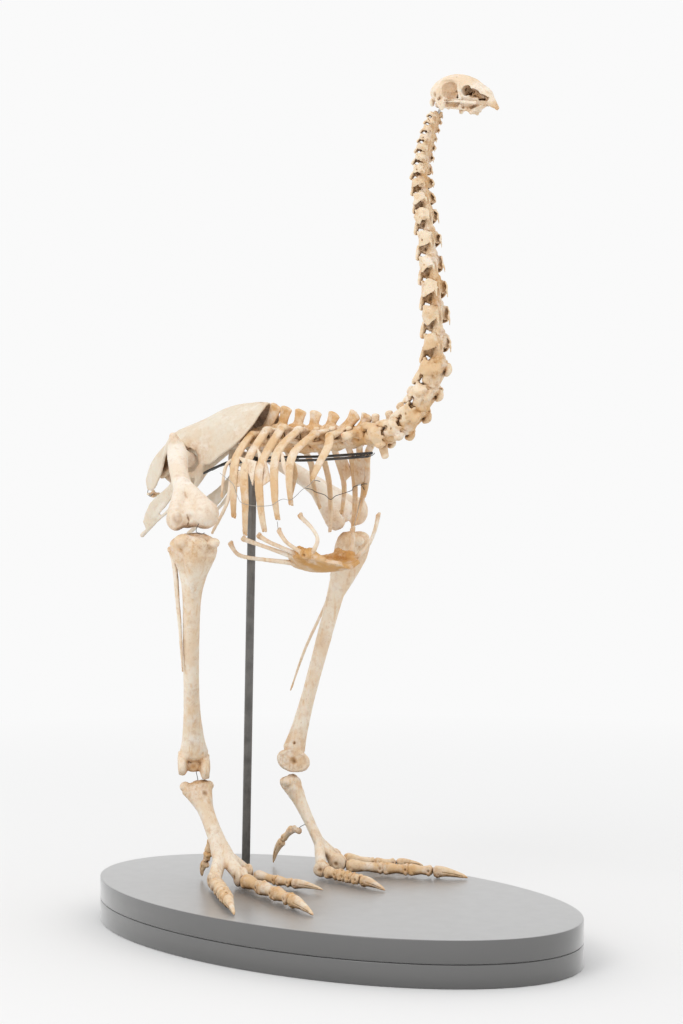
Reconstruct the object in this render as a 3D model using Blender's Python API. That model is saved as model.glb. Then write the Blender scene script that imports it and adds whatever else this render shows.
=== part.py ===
"""Mounted skeleton of a medium-sized moa, a flightless bird, on an oval plinth.

Metres, +Z up. The origin is the centre of the plinth's underside, +X the way the bird
faces and +Y its left side. Everything but the plinth hangs from one empty, the bird's
middle plane, which stands a little to the left of the plinth's centre line.
"""

import math

import bmesh
import bpy
from mathutils import Matrix, Vector

# ---------------------------------------------------------------- driving dimensions
PLINTH_HALF_LENGTH = 0.4725
PLINTH_HALF_WIDTH = 0.274
SLAB_HEIGHT = 0.036
SLAB_GROOVE = 0.0012
PLINTH_SIDES = 64
STANDING_LEVEL = 2 * SLAB_HEIGHT + SLAB_GROOVE
BIRD_OFFSET_Y = 0.040
TOUCH_GAP = 0.0003

POST_RADIUS = 0.0072
POST_FOOT = (-0.2313, 0.0, STANDING_LEVEL + TOUCH_GAP)
POST_TOP = (-0.2131, 0.0, 0.788)
BAR_RADIUS = 0.0023
BAR_SPREAD = 0.0100
BAR_DROP = 0.0060
BAR_LINE = ((-0.321, 0.772), (-0.263, 0.789), (-0.16, 0.794), (-0.06, 0.796), (0.047, 0.802))
NECK_ROD_RADIUS = 0.0021
NECK_ROD = ((0.2015, 0.0, 1.3585), (0.1895, 0.0, 1.3375))

# Middle line of the neck and its bones' lengths, head end first.
NECK_LINE = (
    (0.192, 1.346), (0.173, 1.300), (0.163, 1.245), (0.171, 1.194), (0.181, 1.118),
    (0.189, 1.060), (0.193, 1.010), (0.194, 0.950), (0.178, 0.908), (0.156, 0.873),
    (0.127, 0.845), (0.092, 0.831), (0.053, 0.828),
)
NECK_BONE_MM = (10, 12, 15, 15, 16, 18, 22, 23, 28, 35, 41, 40, 41, 46, 42, 43, 41, 42, 39, 41)
NECK_WIDTH_TOP = 0.029
NECK_WIDTH_BOTTOM = 0.058
NECK_WIDEST = 15
SPINE_FROM_WIDTH = 0.0575
BONE_OVERLAP = 0.0012
JOINT_GAP = 0.0005
NECK_LENGTHS = ((0, 6), (6, 11), (11, 15), (15, 20))
# Parts of a neck bone: path as (along in lengths, out and rise in widths), half sizes in
# widths, and the direction that the second half size is measured along.
NECK_MIDDLE_PARTS = (
    (((-0.50, 0, 0), (-0.20, 0, 0), (0.20, 0, 0), (0.50, 0, 0)), (0.20, 0.16, 0.18, 0.22),
     (0.15, 0.13, 0.13, 0.15), "upper"),
    (((-0.30, 0, 0.25), (0.0, 0, 0.27), (0.32, 0, 0.22)), (0.16, 0.21, 0.18), (0.13, 0.14, 0.11), "upper"),
)
NECK_LOW_PARTS = (
    (((-0.22, 0, 0.30), (-0.20, 0, 0.50), (-0.18, 0, 0.60)), (0.07, 0.07, 0.07), (0.16, 0.15, 0.13), "ahead"),
    (((-0.40, 0, -0.10), (0.0, 0, -0.12), (0.38, 0, -0.14)), (0.22, 0.22, 0.26), (0.13, 0.13, 0.16), "upper"),
)
NECK_SIDE_PARTS = (
    (((-0.10, 0.14, 0.31), (-0.42, 0.27, 0.36), (-0.64, 0.31, 0.36)), (0.08, 0.10, 0.08),
     (0.06, 0.08, 0.06), "upper"),
    (((0.05, 0.16, 0.18), (0.30, 0.31, 0.16), (0.48, 0.34, 0.22)), (0.08, 0.10, 0.07),
     (0.08, 0.07, 0.05), "upper"),
    (((0.42, 0.34, 0.12), (0.38, 0.40, -0.05), (0.20, 0.39, -0.16), (-0.12, 0.33, -0.22)),
     (0.10, 0.15, 0.12, 0.03), (0.06, 0.06, 0.05, 0.03), "left"),
    (((0.28, 0.14, -0.04), (0.32, 0.38, -0.07)), (0.13, 0.12), (0.06, 0.06), "upper"),
)
LAST_NECK_KEEL = ((0.0835, 0.0, 0.8010), (0.0110, 0.0060, 0.0085))

# Back: seven free bones behind the neck, hip end last.
BACK_LINE = ((0.050, 0.829), (-0.022, 0.819), (-0.092, 0.814), (-0.200, 0.819))
BACK_BONES = 7
BACK_BODY = ((0.0125, 0.0100, 0.0125), (0.0130, 0.0115, 0.0130))
BLADE_FOOT = 0.016
BLADE = ((0.0115, 0.0085, 0.0105), (0.0040, 0.0032, 0.0048))
SPINE_CAP = 0.0015
# Height of each back bone's roof and of its side arms' ends above the body's middle line.
ROOF_RISE = (0.012, 0.018, 0.023, 0.026, 0.028, 0.026, 0.020)
ROOF_SIZE = (0.0110, 0.0095)
ARM_RISE = (0.004, 0.009, 0.016, 0.026, 0.030, 0.024, 0.015)
ARM_REACH = 0.036
ARM = ((0.0110, 0.0078), (0.0048, 0.0042))
SPINE_TOPS = (
    (0.045, 0.866), (0.019, 0.869), (-0.027, 0.869), (-0.068, 0.872),
    (-0.102, 0.875), (-0.135, 0.880), (-0.158, 0.884),
)
# Ribs: number of the back bone, then the outer bend, the middle and the lower tip.
RIBS_RIGHT = (
    (1, (0.012, 0.060, 0.812), (0.010, 0.078, 0.787), (-0.006, 0.080, 0.758)),
    (2, (-0.041, 0.085, 0.802), (-0.038, 0.100, 0.764), (-0.043, 0.090, 0.716)),
    (3, (-0.077, 0.088, 0.799), (-0.070, 0.100, 0.731), (-0.072, 0.090, 0.692)),
    (4, (-0.113, 0.088, 0.780), (-0.102, 0.100, 0.716), (-0.102, 0.090, 0.671)),
    (5, (-0.147, 0.088, 0.780), (-0.137, 0.100, 0.716), (-0.147, 0.090, 0.665)),
    (6, (-0.172, 0.086, 0.790), (-0.166, 0.098, 0.729), (-0.173, 0.090, 0.693)),
)
RIBS_LEFT = (
    (0, (-0.026, 0.084, 0.797), (-0.036, 0.096, 0.760), (-0.038, 0.090, 0.726)),
    (1, (-0.046, 0.088, 0.795), (-0.048, 0.100, 0.738), (-0.060, 0.090, 0.678)),
    (2, (-0.064, 0.088, 0.792), (-0.067, 0.100, 0.730), (-0.066, 0.092, 0.672)),
    (3, (-0.096, 0.088, 0.790), (-0.092, 0.100, 0.745), (-0.090, 0.092, 0.697)),
    (4, (-0.126, 0.088, 0.784), (-0.124, 0.100, 0.734), (-0.117, 0.092, 0.665)),
    (5, (-0.157, 0.088, 0.782), (-0.164, 0.100, 0.750), (-0.140, 0.092, 0.705)),
    (6, (-0.196, 0.086, 0.775), (-0.204, 0.094, 0.750), (-0.209, 0.092, 0.725)),
)
RIB_WIDTH = 0.0140
RIB_THICKNESS = 0.0062
RIB_TAPER = (0.85, 0.95, 1.00, 0.80)
RIB_NECK = 0.0034
HIND_RIB_RIGHT = ((-0.193, 0.060, 0.797), (-0.201, 0.080, 0.778), (-0.206, 0.085, 0.727))
LOOSE_HIND_RIB = ((-0.186, 0.078, 0.772), (-0.180, 0.098, 0.720), (-0.222, 0.092, 0.666))
HIND_RIBS = ((HIND_RIB_RIGHT, 0.0075), (LOOSE_HIND_RIB, 0.0085))
HIND_RIB_ROOT = (-0.004, 0.034, 0.012)
HIND_RIB_THICKNESS = 0.0026
HOOK_PLATE = ((-0.040, 0.096, 0.758), (-0.056, 0.092, 0.782), (-0.071, 0.084, 0.803))
HOOK_PLATE_SIZE = ((0.0060, 0.0060, 0.0045), (0.0025, 0.0025, 0.0025))
# Plates that lie over the ribs' bends, by their corners; -1 is the right side, 1 the left.
PLATES = {
    -1: (
        ((-0.137, 0.070, 0.811), (-0.100, 0.088, 0.785), (-0.084, 0.094, 0.757), (-0.104, 0.097, 0.745)),
        ((-0.172, 0.083, 0.797), (-0.121, 0.088, 0.788), (-0.122, 0.097, 0.746), (-0.142, 0.090, 0.776)),
        ((-0.171, 0.091, 0.772), (-0.146, 0.091, 0.772), (-0.149, 0.096, 0.746), (-0.165, 0.096, 0.744)),
    ),
    1: (
        ((-0.062, 0.089, 0.795), (-0.034, 0.088, 0.795), (-0.042, 0.097, 0.752), (-0.064, 0.098, 0.745)),
        ((-0.094, 0.089, 0.792), (-0.076, 0.089, 0.792), (-0.070, 0.096, 0.765), (-0.088, 0.098, 0.752)),
    ),
}
PLATE_THICKNESS = 0.0050

# Hip bone: stations from front to back, each crest, flank and lower edge as (x, y, z).
ILIUM_ROOF = (
    ((-0.1745, 0.000, 0.8870), (-0.174, 0.020, 0.871), (-0.176, 0.035, 0.854)),
    ((-0.200, 0.000, 0.888), (-0.196, 0.030, 0.863), (-0.193, 0.050, 0.825)),
    ((-0.240, 0.000, 0.885), (-0.238, 0.038, 0.852), (-0.236, 0.058, 0.796)),
    ((-0.275, 0.000, 0.878), (-0.272, 0.044, 0.845), (-0.268, 0.063, 0.781)),
    ((-0.310, 0.000, 0.865), (-0.308, 0.050, 0.841), (-0.306, 0.074, 0.815)),
    ((-0.356, 0.000, 0.848), (-0.349, 0.054, 0.834), (-0.344, 0.080, 0.800)),
    ((-0.397, 0.000, 0.827), (-0.383, 0.046, 0.810), (-0.376, 0.060, 0.768)),
    ((-0.431, 0.000, 0.798), (-0.424, 0.036, 0.782), (-0.402, 0.052, 0.738)),
    ((-0.452, 0.000, 0.769), (-0.450, 0.022, 0.755), (-0.434, 0.036, 0.735)),
)
ILIUM_THICKNESS = 0.005
WEB_FRONT = -0.216
WEB_THICKNESS = 0.006
WEB_TOP = 0.003
SYNSACRUM = ((-0.2195, 0.821), (-0.300, 0.816), (-0.375, 0.798), (-0.436, 0.760))
SYNSACRUM_SIZE = ((0.0135, 0.0125, 0.0110, 0.0060), (0.0125, 0.0115, 0.0100, 0.0060))
# Side struts of the fused backbone: x, how far out they reach, height of their ends.
HIP_STRUTS = ((-0.225, 0.045, 0.826), (-0.260, 0.056, 0.815), (-0.330, 0.056, 0.826), (-0.365, 0.056, 0.815))
STRUT_ROOT_Z = 0.815
STRUT_SIZE = (0.0060, 0.0035)
HIP_SOCKET = (-0.300, 0.068, 0.790)
SOCKET_HOLE = 0.0200
SOCKET_RIM = 0.0065
SOCKET_DEPTH = 0.0060
SOCKET_BORE_REACH = 0.030
SOCKET_HEEL = ((-0.030, 0.012, 0.020), (0.014, 0.009, 0.012))
PUBIC_PEG = ((-0.2770, 0.066, 0.776), (-0.2800, 0.065, 0.760), (-0.2900, 0.062, 0.744))
PUBIC_PEG_SIZE = ((0.0092, 0.0080, 0.0044), (0.0066, 0.0058, 0.0040))
ISCHIUM_THICKNESS = 0.005
PUBIS_SIZE = ((0.0050, 0.0036, 0.0034, 0.0046), (0.0040, 0.0030, 0.0028, 0.0036))
ISCHIUM = (
    ((-0.318, 0.068, 0.777), (-0.322, 0.068, 0.760)),
    ((-0.352, 0.066, 0.745), (-0.345, 0.066, 0.722)),
    ((-0.401, 0.063, 0.713), (-0.386, 0.063, 0.688)),
    ((-0.422, 0.060, 0.680), (-0.414, 0.060, 0.668)),
)
PUBIS = ((-0.300, 0.067, 0.768), (-0.345, 0.062, 0.711), (-0.388, 0.060, 0.682), (-0.428, 0.058, 0.655))

TAIL_BONE = (-0.457, 0.0, 0.7265)
TAIL_BODY = (0.0075, 0.0080, 0.0065)
TAIL_ARM_REACH = 0.014
TAIL_ARM_RISE = 0.001
TAIL_ARM_SIZE = (0.0035, 0.0028)
TAIL_SPINE = ((-0.001, 0.0, 0.0062), (0.0045, 0.0030, 0.0040))

# Breastbone: front to back, left edge, middle and right edge heights.
STERNUM_STATIONS = ((0.014, 0.026), (-0.012, 0.044), (-0.050, 0.052), (-0.088, 0.048), (-0.112, 0.032))
STERNUM_EDGE_Z = 0.632
STERNUM_KEEL_Z = 0.608
STERNUM_ROWS = (-1.0, -0.5, 0.0, 0.5, 1.0)
STERNUM_THICKNESS = 0.0062
STERNUM_FRONT_X = -0.02
STERNUM_FRONT_SLOPE = 0.28
STERNUM_EDGE = ((-0.020, 0.046, 0.632), (-0.050, 0.053, 0.640), (-0.085, 0.051, 0.630))
STERNUM_EDGE_SIZE = ((0.006, 0.008, 0.005), (0.006, 0.009, 0.005))
STERNAL_RODS = (
    ((-0.088, -0.030, 0.617), (-0.145, -0.058, 0.623), (-0.182, -0.068, 0.629), (-0.199, -0.070, 0.647)),
    ((-0.076, -0.042, 0.627), (-0.127, -0.068, 0.646), (-0.170, -0.070, 0.6565)),
    ((-0.062, -0.046, 0.631), (-0.104, -0.070, 0.651), (-0.132, -0.072, 0.6625)),
    ((-0.050, -0.054, 0.636), (-0.072, -0.068, 0.653), (-0.088, -0.070, 0.672)),
    ((-0.032, -0.052, 0.632), (-0.018, -0.052, 0.658), (-0.032, -0.050, 0.677), (-0.061, -0.048, 0.697)),
    ((-0.018, 0.044, 0.624), (0.004, 0.052, 0.648), (0.018, 0.052, 0.673), (0.025, 0.052, 0.697)),
    ((-0.036, 0.050, 0.628), (-0.031, 0.054, 0.655), (-0.033, 0.054, 0.672)),
)
STERNAL_ROD_RADIUS = 0.0034
STERNAL_ROD_END = 0.0040
HANGER_RADIUS = 0.0006
HANGERS = {
    "right": ((-0.0735, -0.0900, 0.6885), (-0.0870, -0.0735, 0.6760)),
    "left": ((-0.0420, 0.0850, 0.7220), (-0.0340, 0.0580, 0.6760)),
}

# Legs. y is the distance out from the middle plane; each leg has its own stance.
LEGS = {
    "right": dict(
        side=-1, head=(-0.300, 0.068, 0.790), trochanter=(-0.291, 0.116, 0.833),
        knee=(-0.175, 0.193, 0.692), thigh_turn=-45.0, thigh_lift=0.0,
        knuckles=(
            ((-0.004, 0.0225, 0.002), (0.0300, 0.0170, 0.0210)),
            ((-0.004, -0.0250, 0.009), (0.0290, 0.0240, 0.0250)),
        ),
        tibia_top=(-0.170, 0.188, 0.653), ankle=(-0.273, 0.085, 0.268), knee_turn=-45.0,
        shin_bow=(-0.0038, 0.0030, 0.0),
        wheels=(
            ((0.004, 0.0190, 0.004), (0.0300, 0.0098, 0.0195)),
            ((0.004, -0.0190, -0.003), (0.0305, 0.0098, 0.0212)),
        ),
        tarsus_top=(-0.266, 0.086, 0.232), tarsus_foot=(-0.176, 0.104, 0.104), foot_turn=-30.0,
        fibula=((-0.213, 0.198, 0.642), (-0.212, 0.190, 0.608), (-0.2175, 0.179, 0.555),
                (-0.222, 0.169, 0.510), (-0.235, 0.150, 0.434)),
        trochleae=((-0.170, 0.064, 0.0910), (-0.142, 0.106, 0.0915), (-0.164, 0.147, 0.0890)),
        hallux=((-0.2300, 0.090, 0.1400), (-0.2350, 0.090, 0.1200), (-0.2385, 0.090, 0.1060),
                (-0.2490, 0.090, 0.0765)),
    ),
    "left": dict(
        side=1, head=(-0.300, 0.068, 0.790), trochanter=(-0.291, 0.116, 0.833),
        knee=(-0.167, 0.188, 0.690), thigh_turn=6.0, thigh_lift=0.010,
        knuckles=(
            ((0.006, 0.0290, 0.008), (0.0225, 0.0160, 0.0260)),
            ((0.000, -0.0290, -0.009), (0.0190, 0.0160, 0.0170)),
        ),
        tibia_top=(-0.153, 0.186, 0.646), ankle=(-0.206, 0.090, 0.263), knee_turn=42.0,
        shin_bow=(0.0, 0.0, 0.0),
        wheels=(
            ((0.004, 0.0175, 0.000), (0.0305, 0.0095, 0.0205)),
            ((0.004, -0.0175, 0.000), (0.0305, 0.0095, 0.0205)),
        ),
        tarsus_top=(-0.206, 0.086, 0.229), tarsus_foot=(-0.127, 0.090, 0.104), foot_turn=30.0,
        fibula=((-0.195, 0.190, 0.584), (-0.199, 0.185, 0.557), (-0.204, 0.180, 0.533),
                (-0.238, 0.162, 0.451), (-0.262, 0.150, 0.376)),
        trochleae=((-0.098, 0.048, 0.0895), (-0.104, 0.096, 0.0925), (-0.142, 0.130, 0.0950)),
        hallux=((-0.1860, 0.088, 0.1400), (-0.2000, 0.087, 0.1430), (-0.2225, 0.086, 0.1220),
                (-0.2455, 0.086, 0.0768)),
    ),
}
FEMUR_BALL = (0.0142, 0.0140, 0.0142)
FEMUR_NECK = ((0.0110, 0.0120, 0.0150), (0.0120, 0.0130, 0.0200))
FEMUR_ROOT = (0.006, 0.004, 0.030)
FEMUR_SHAFT = ((0.0065, 0.0180, 0.0165, 0.0185, 0.0310), (0.0060, 0.0150, 0.0150, 0.0165, 0.0210))
FEMUR_BEND = (-0.004, 0.0, -0.002)
FEMUR_LEAN = 0.6
FEMUR_END_RISE = 0.004
# Shin bone: parts of its length, then half sizes across and fore and aft there.
SHIN_STATIONS = (0.0, 0.05, 0.14, 0.25, 0.45, 0.70, 0.86, 0.95)
SHIN_WIDTHS = (0.0400, 0.0385, 0.0235, 0.0158, 0.0143, 0.0140, 0.0182, 0.0255)
SHIN_DEPTHS = (0.0235, 0.0235, 0.0195, 0.0152, 0.0134, 0.0126, 0.0155, 0.0200)
SHIN_BOW_STATIONS = (0.0, 0.0, 0.3, 0.7, 1.0, 0.8, 0.3, 0.0)
SHIN_CREST = ((0.0090, 0.0085, 0.0060), (0.0160, 0.0150, 0.0060))
SHIN_CREST_REACH = 0.035
ANKLE_HUB = (0.0170, 0.0180, 0.0140)
FIBULA_SIZE = ((0.0066, 0.0048, 0.0040, 0.0034, 0.0017), (0.0046, 0.0038, 0.0032, 0.0028, 0.0017))
FOOT_STATIONS = (0.04, 0.14, 0.32, 0.60, 0.85, 0.97)
FOOT_WIDTHS = (0.0295, 0.0245, 0.0150, 0.0130, 0.0155, 0.0245)
FOOT_DEPTHS = (0.0175, 0.0165, 0.0115, 0.0088, 0.0092, 0.0100)
FOOT_HEEL = ((-0.016, 0.004), (-0.020, 0.040))
FOOT_HEEL_SIZE = ((0.0110, 0.0060), (0.0090, 0.0050))
ROLLER_FROM = 0.82
ROLLER_RADII = (0.0140, 0.0165, 0.0140)
ROLLER_HALF_WIDTH = 0.0120
ROLLER_STEM = ((0.0080, 0.0095, 0.0105), (0.0080, 0.0090, 0.0110))
# Toes: number, start and tip on the plinth (x, y, height above it), parts of the length,
# and the first bone's radius.
TOES = {
    "right": (
        (2, (-0.148, 0.060, 0.014), (0.000, 0.058, 0.007), (0.32, 0.21, 0.47), 0.0104),
        (3, (-0.122, 0.114, 0.015), (0.108, 0.204, 0.002), (0.26, 0.21, 0.20, 0.33), 0.0138),
        (4, (-0.146, 0.160, 0.013), (0.011, 0.283, 0.002), (0.22, 0.16, 0.13, 0.12, 0.37), 0.0130),
    ),
    "left": (
        (2, (-0.080, 0.044, 0.013), (0.062, 0.027, 0.002), (0.22, 0.13, 0.12, 0.11, 0.42), 0.0118),
        (3, (-0.086, 0.106, 0.015), (0.099, 0.204, 0.002), (0.30, 0.21, 0.19, 0.30), 0.0126),
        (4, (-0.124, 0.142, 0.019), (-0.024, 0.234, 0.005), (0.38, 0.26, 0.36), 0.0104),
    ),
}
TOE_TAPER = 0.12
TOE_CLEARANCE = 0.001
TOE_STATIONS = (0.0, 0.22, 0.55, 0.85, 1.0)
TOE_WIDTHS = (0.88, 0.95, 0.72, 0.90, 0.78)
TOE_DEPTHS = (0.88, 0.90, 0.68, 0.86, 0.76)
TOE_OVERLAP = 0.0015
# A claw: parts of its length, its half height and half width there in knuckle radii.
CLAW_STATIONS = (0.0, 0.30, 0.60, 0.85)
CLAW_DEPTHS = (0.96, 0.82, 0.55, 0.33)
CLAW_WIDTHS = (0.78, 0.68, 0.46, 0.28)
CLAW_TIP = 0.11
CLAW_ARCH = (0.0, 0.12, 0.16, 0.06)
HALLUX_STUB = ((0.0044, 0.0060, 0.0080), (0.0040, 0.0055, 0.0072))
HALLUX_BONE = ((0.0080, 0.0066, 0.0072), (0.0080, 0.0066, 0.0070))
HALLUX_CLAW = ((0.0066, 0.0054, 0.0011), (0.0074, 0.0060, 0.0011))
HALLUX_CLAW_BEND = (-0.004, 0.0, 0.0)

# Skull profile from the back of the head to the beak's tip: x, top z, lower z, half width.
SKULL_PROFILE = (
    (0.1925, 1.3730, 1.3620, 0.0120), (0.1965, 1.3860, 1.3560, 0.0215), (0.2040, 1.3945, 1.3535, 0.0270),
    (0.2140, 1.4000, 1.3525, 0.0295), (0.2250, 1.4032, 1.3525, 0.0300), (0.2365, 1.4034, 1.3530, 0.0270),
    (0.2490, 1.4000, 1.3540, 0.0240), (0.2640, 1.3930, 1.3470, 0.0205), (0.2790, 1.3840, 1.3480, 0.0165),
    (0.2895, 1.3762, 1.3490, 0.0130), (0.2990, 1.3635, 1.3470, 0.0095), (0.3070, 1.3535, 1.3430, 0.0065),
    (0.3135, 1.3450, 1.3405, 0.0030),
)
ORBIT = (0.2385, 0.0345, 1.3778)
ORBIT_RADII = (0.0152, 0.0205, 0.0125)
NASAL_OPENING = (0.2800, 0.0190, 1.3655)
NASAL_RADII = (0.0220, 0.0110, 0.0086)
NASAL_SLOPE = 22.0
# Knobs of the skull: centre and radii. Those off the middle plane are made on both sides.
SKULL_KNOBS = (
    ((0.1935, 0.0000, 1.3590), (0.0055, 0.0065, 0.0050)),
    ((0.2375, 0.0000, 1.3530), (0.0120, 0.0100, 0.0060)),
    ((0.2225, 0.0245, 1.3560), (0.0065, 0.0050, 0.0085)),
    ((0.2170, 0.0300, 1.3740), (0.0060, 0.0040, 0.0100)),
)
PALATE = ((0.246, 0, 1.356), (0.2600, 0, 1.3430), (0.2750, 0, 1.3440), (0.297, 0, 1.350))
PALATE_SIZE = ((0.010, 0.011, 0.009, 0.006), (0.004, 0.004, 0.004, 0.003))
CHEEK_BAR = ((0.2190, 0.0265, 1.3600), (0.2480, 0.0275, 1.3565), (0.2830, 0.0180, 1.3520))
CHEEK_BAR_SIZE = (0.0026, 0.0030)

# Step of each melted skin, and the triangles kept before a hole is cut.
VOXEL = dict(
    skull=0.0011, neck=0.0014, rib_cage=0.0015, pelvis=0.0017, tail=0.0008, sternum=0.0013, femur=0.0018,
    tibiotarsus=0.0018, fibula=0.0009, tarsometatarsus=0.0016, toe=0.0011, hallux=0.0009,
)
FACES_BEFORE_CUT = dict(skull=24000, pelvis=60000)

# Most triangles that each solid keeps.
FACES = dict(
    skull=830, neck=530, rib_cage=970, pelvis=820, tail=70, sternum=400,
    femur=210, tibiotarsus=236, fibula=60, tarsometatarsus=270, toe=120, hallux=80,
)

# ---------------------------------------------------------------- materials
BONE = ((0.80, 0.70, 0.55), 0.62, 0.0)
BONE_OCHRE = ((0.72, 0.50, 0.24), 0.68, 0.0)
BONE_TAN = ((0.68, 0.52, 0.34), 0.60, 0.0)
PAINT_GREY = ((0.145, 0.138, 0.130), 0.42, 0.0)
STEEL_DARK = ((0.10, 0.10, 0.10), 0.40, 1.0)


def material(name, finish):
    """A plain Principled material with this colour, roughness and metallic value."""
    colour, roughness, metallic = finish
    made = bpy.data.materials.new(name)
    made.use_nodes = True
    shader = made.node_tree.nodes["Principled BSDF"]
    shader.inputs["Base Color"].default_value = (*colour, 1.0)
    shader.inputs["Roughness"].default_value = roughness
    shader.inputs["Metallic"].default_value = metallic
    made.diffuse_color = (*colour, 1.0)
    return made


# ---------------------------------------------------------------- shape tools
def smooth_run(rows, per_span):
    """Rows of numbers, passed through by a smooth curve with this many steps a span."""
    rows = [tuple(row) for row in rows]
    last = len(rows) - 1
    made = []
    for i in range(last):
        a, b, c, d = rows[max(i - 1, 0)], rows[i], rows[i + 1], rows[min(i + 2, last)]
        for step in range(per_span):
            t = step / per_span
            made.append(tuple(
                0.5 * (2 * q + (r - p) * t + (2 * p - 5 * q + 4 * r - s) * t * t
                       + (3 * q - p - 3 * r + s) * t ** 3)
                for p, q, r, s in zip(a, b, c, d)
            ))
    made.append(rows[-1])
    return made


def add_limb(bm, points, widths, depths, up=(0, 0, 1), sides=10, per_span=3):
    """A closed tube along points. widths are half sizes across, depths half sizes along up."""
    rows = smooth_run([(*p, w, d) for p, w, d in zip(points, widths, depths)], per_span)
    centres = [Vector(row[:3]) for row in rows]
    rings = []
    for i, row in enumerate(rows):
        ahead = centres[min(i + 1, len(rows) - 1)] - centres[max(i - 1, 0)]
        across = Vector(up).cross(ahead).normalized()
        rise = ahead.cross(across).normalized()
        ring = []
        for k in range(sides):
            turn = 2 * math.pi * k / sides
            spot = centres[i] + across * math.cos(turn) * row[3] + rise * math.sin(turn) * row[4]
            ring.append(bm.verts.new(spot))
        rings.append(ring)
    for lower, upper in zip(rings, rings[1:]):
        for k in range(sides):
            n = (k + 1) % sides
            bm.faces.new((lower[k], lower[n], upper[n], upper[k]))
    for ring, row, nearby, flip in (
        (rings[0], rows[0], centres[1], True),
        (rings[-1], rows[-1], centres[-2], False),
    ):
        centre = Vector(row[:3])
        pole = bm.verts.new(centre + (centre - nearby).normalized() * min(row[3], row[4]) * 0.7)
        for k in range(sides):
            n = (k + 1) % sides
            corners = (ring[n], ring[k], pole) if flip else (ring[k], ring[n], pole)
            bm.faces.new(corners)


def add_knob(bm, centre, radii, turn=None):
    """An ellipsoid; turn is a rotation matrix for its axes."""
    place = Matrix.Translation(Vector(centre)) @ (turn.to_4x4() if turn else Matrix.Identity(4))
    place = place @ Matrix.Diagonal((*radii, 1.0))
    bmesh.ops.create_icosphere(bm, subdivisions=2, radius=1.0, matrix=place)


def add_sheet(bm, rows, thickness, per_span=2):
    """A plate of this thickness through a grid of points, given as rows of equal length."""
    across = [smooth_run(row, per_span) for row in rows]
    grid = list(zip(*[smooth_run(line, per_span) for line in zip(*across)]))
    grid = [[Vector(spot) for spot in line] for line in grid]
    count, width = len(grid), len(grid[0])
    faces_up, faces_down = [], []
    for i in range(count):
        up_line, down_line = [], []
        for k in range(width):
            along = grid[min(i + 1, count - 1)][k] - grid[max(i - 1, 0)][k]
            over = grid[i][min(k + 1, width - 1)] - grid[i][max(k - 1, 0)]
            normal = along.cross(over).normalized() * thickness / 2
            up_line.append(bm.verts.new(grid[i][k] + normal))
            down_line.append(bm.verts.new(grid[i][k] - normal))
        faces_up.append(up_line)
        faces_down.append(down_line)
    for i in range(count - 1):
        for k in range(width - 1):
            a, b = faces_up[i], faces_up[i + 1]
            bm.faces.new((a[k], b[k], b[k + 1], a[k + 1]))
            a, b = faces_down[i], faces_down[i + 1]
            bm.faces.new((a[k + 1], b[k + 1], b[k], a[k]))
    for k in range(width - 1):
        for i, turned in ((0, False), (count - 1, True)):
            quad = (faces_up[i][k], faces_up[i][k + 1], faces_down[i][k + 1], faces_down[i][k])
            bm.faces.new(tuple(reversed(quad)) if turned else quad)
    for i in range(count - 1):
        for k, turned in ((0, True), (width - 1, False)):
            quad = (faces_up[i][k], faces_up[i + 1][k], faces_down[i + 1][k], faces_down[i][k])
            bm.faces.new(tuple(reversed(quad)) if turned else quad)


def heading(degrees):
    """A level unit vector, this many degrees to the left of the bird's heading."""
    turn = math.radians(degrees)
    return Vector((math.cos(turn), math.sin(turn), 0.0))


def sided(point, side):
    """A point given by its distance out from the middle plane, on one side."""
    return Vector((point[0], point[1] * side, point[2]))


def new_object(name, bm, finish, parent):
    """A scene object from a bmesh, with its own material."""
    bmesh.ops.recalc_face_normals(bm, faces=bm.faces)
    mesh = bpy.data.meshes.new(name)
    bm.to_mesh(mesh)
    bm.free()
    made = bpy.data.objects.new(name, mesh)
    bpy.context.scene.collection.objects.link(made)
    mesh.materials.append(material(name, finish))
    made.parent = parent
    return made


def evaluated_mesh(made):
    """The object's mesh with its modifiers, as a new mesh."""
    bpy.context.view_layer.update()
    graph = bpy.context.evaluated_depsgraph_get()
    return bpy.data.meshes.new_from_object(made.evaluated_get(graph))


def settle(made):
    """Swaps the object's mesh for its evaluated one and drops the modifiers."""
    mesh = evaluated_mesh(made)
    finish = made.data.materials[0]
    made.modifiers.clear()
    made.data = mesh
    mesh.materials.clear()
    mesh.materials.append(finish)


def keep_largest(made):
    """Drops the crumbs that a cut or a thinned mesh leaves beside its main body."""
    bm = bmesh.new()
    bm.from_mesh(made.data)
    waiting = set(bm.verts)
    bodies = []
    while waiting:
        edge_of_body = [waiting.pop()]
        body = list(edge_of_body)
        while edge_of_body:
            spot = edge_of_body.pop()
            for edge in spot.link_edges:
                beside = edge.other_vert(spot)
                if beside in waiting:
                    waiting.remove(beside)
                    edge_of_body.append(beside)
                    body.append(beside)
        bodies.append(body)
    bodies.sort(key=len)
    for crumb in bodies[:-1]:
        bmesh.ops.delete(bm, geom=crumb, context="VERTS")
    bm.to_mesh(made.data)
    bm.free()


def fuse(made, voxel, faces):
    """Melts an object's overlapping shapes into one skin of at most this many triangles."""
    melt = made.modifiers.new("melt", "REMESH")
    melt.mode = "VOXEL"
    melt.voxel_size = voxel
    ease = made.modifiers.new("ease", "SMOOTH")
    ease.factor = 0.5
    ease.iterations = 2
    settle(made)
    bm = bmesh.new()
    bm.from_mesh(made.data)
    bmesh.ops.triangulate(bm, faces=bm.faces)
    bm.to_mesh(made.data)
    bm.free()
    thin = made.modifiers.new("thin", "DECIMATE")
    thin.ratio = min(1.0, faces / len(made.data.polygons))
    thin.use_collapse_triangulate = True
    settle(made)
    keep_largest(made)


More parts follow.
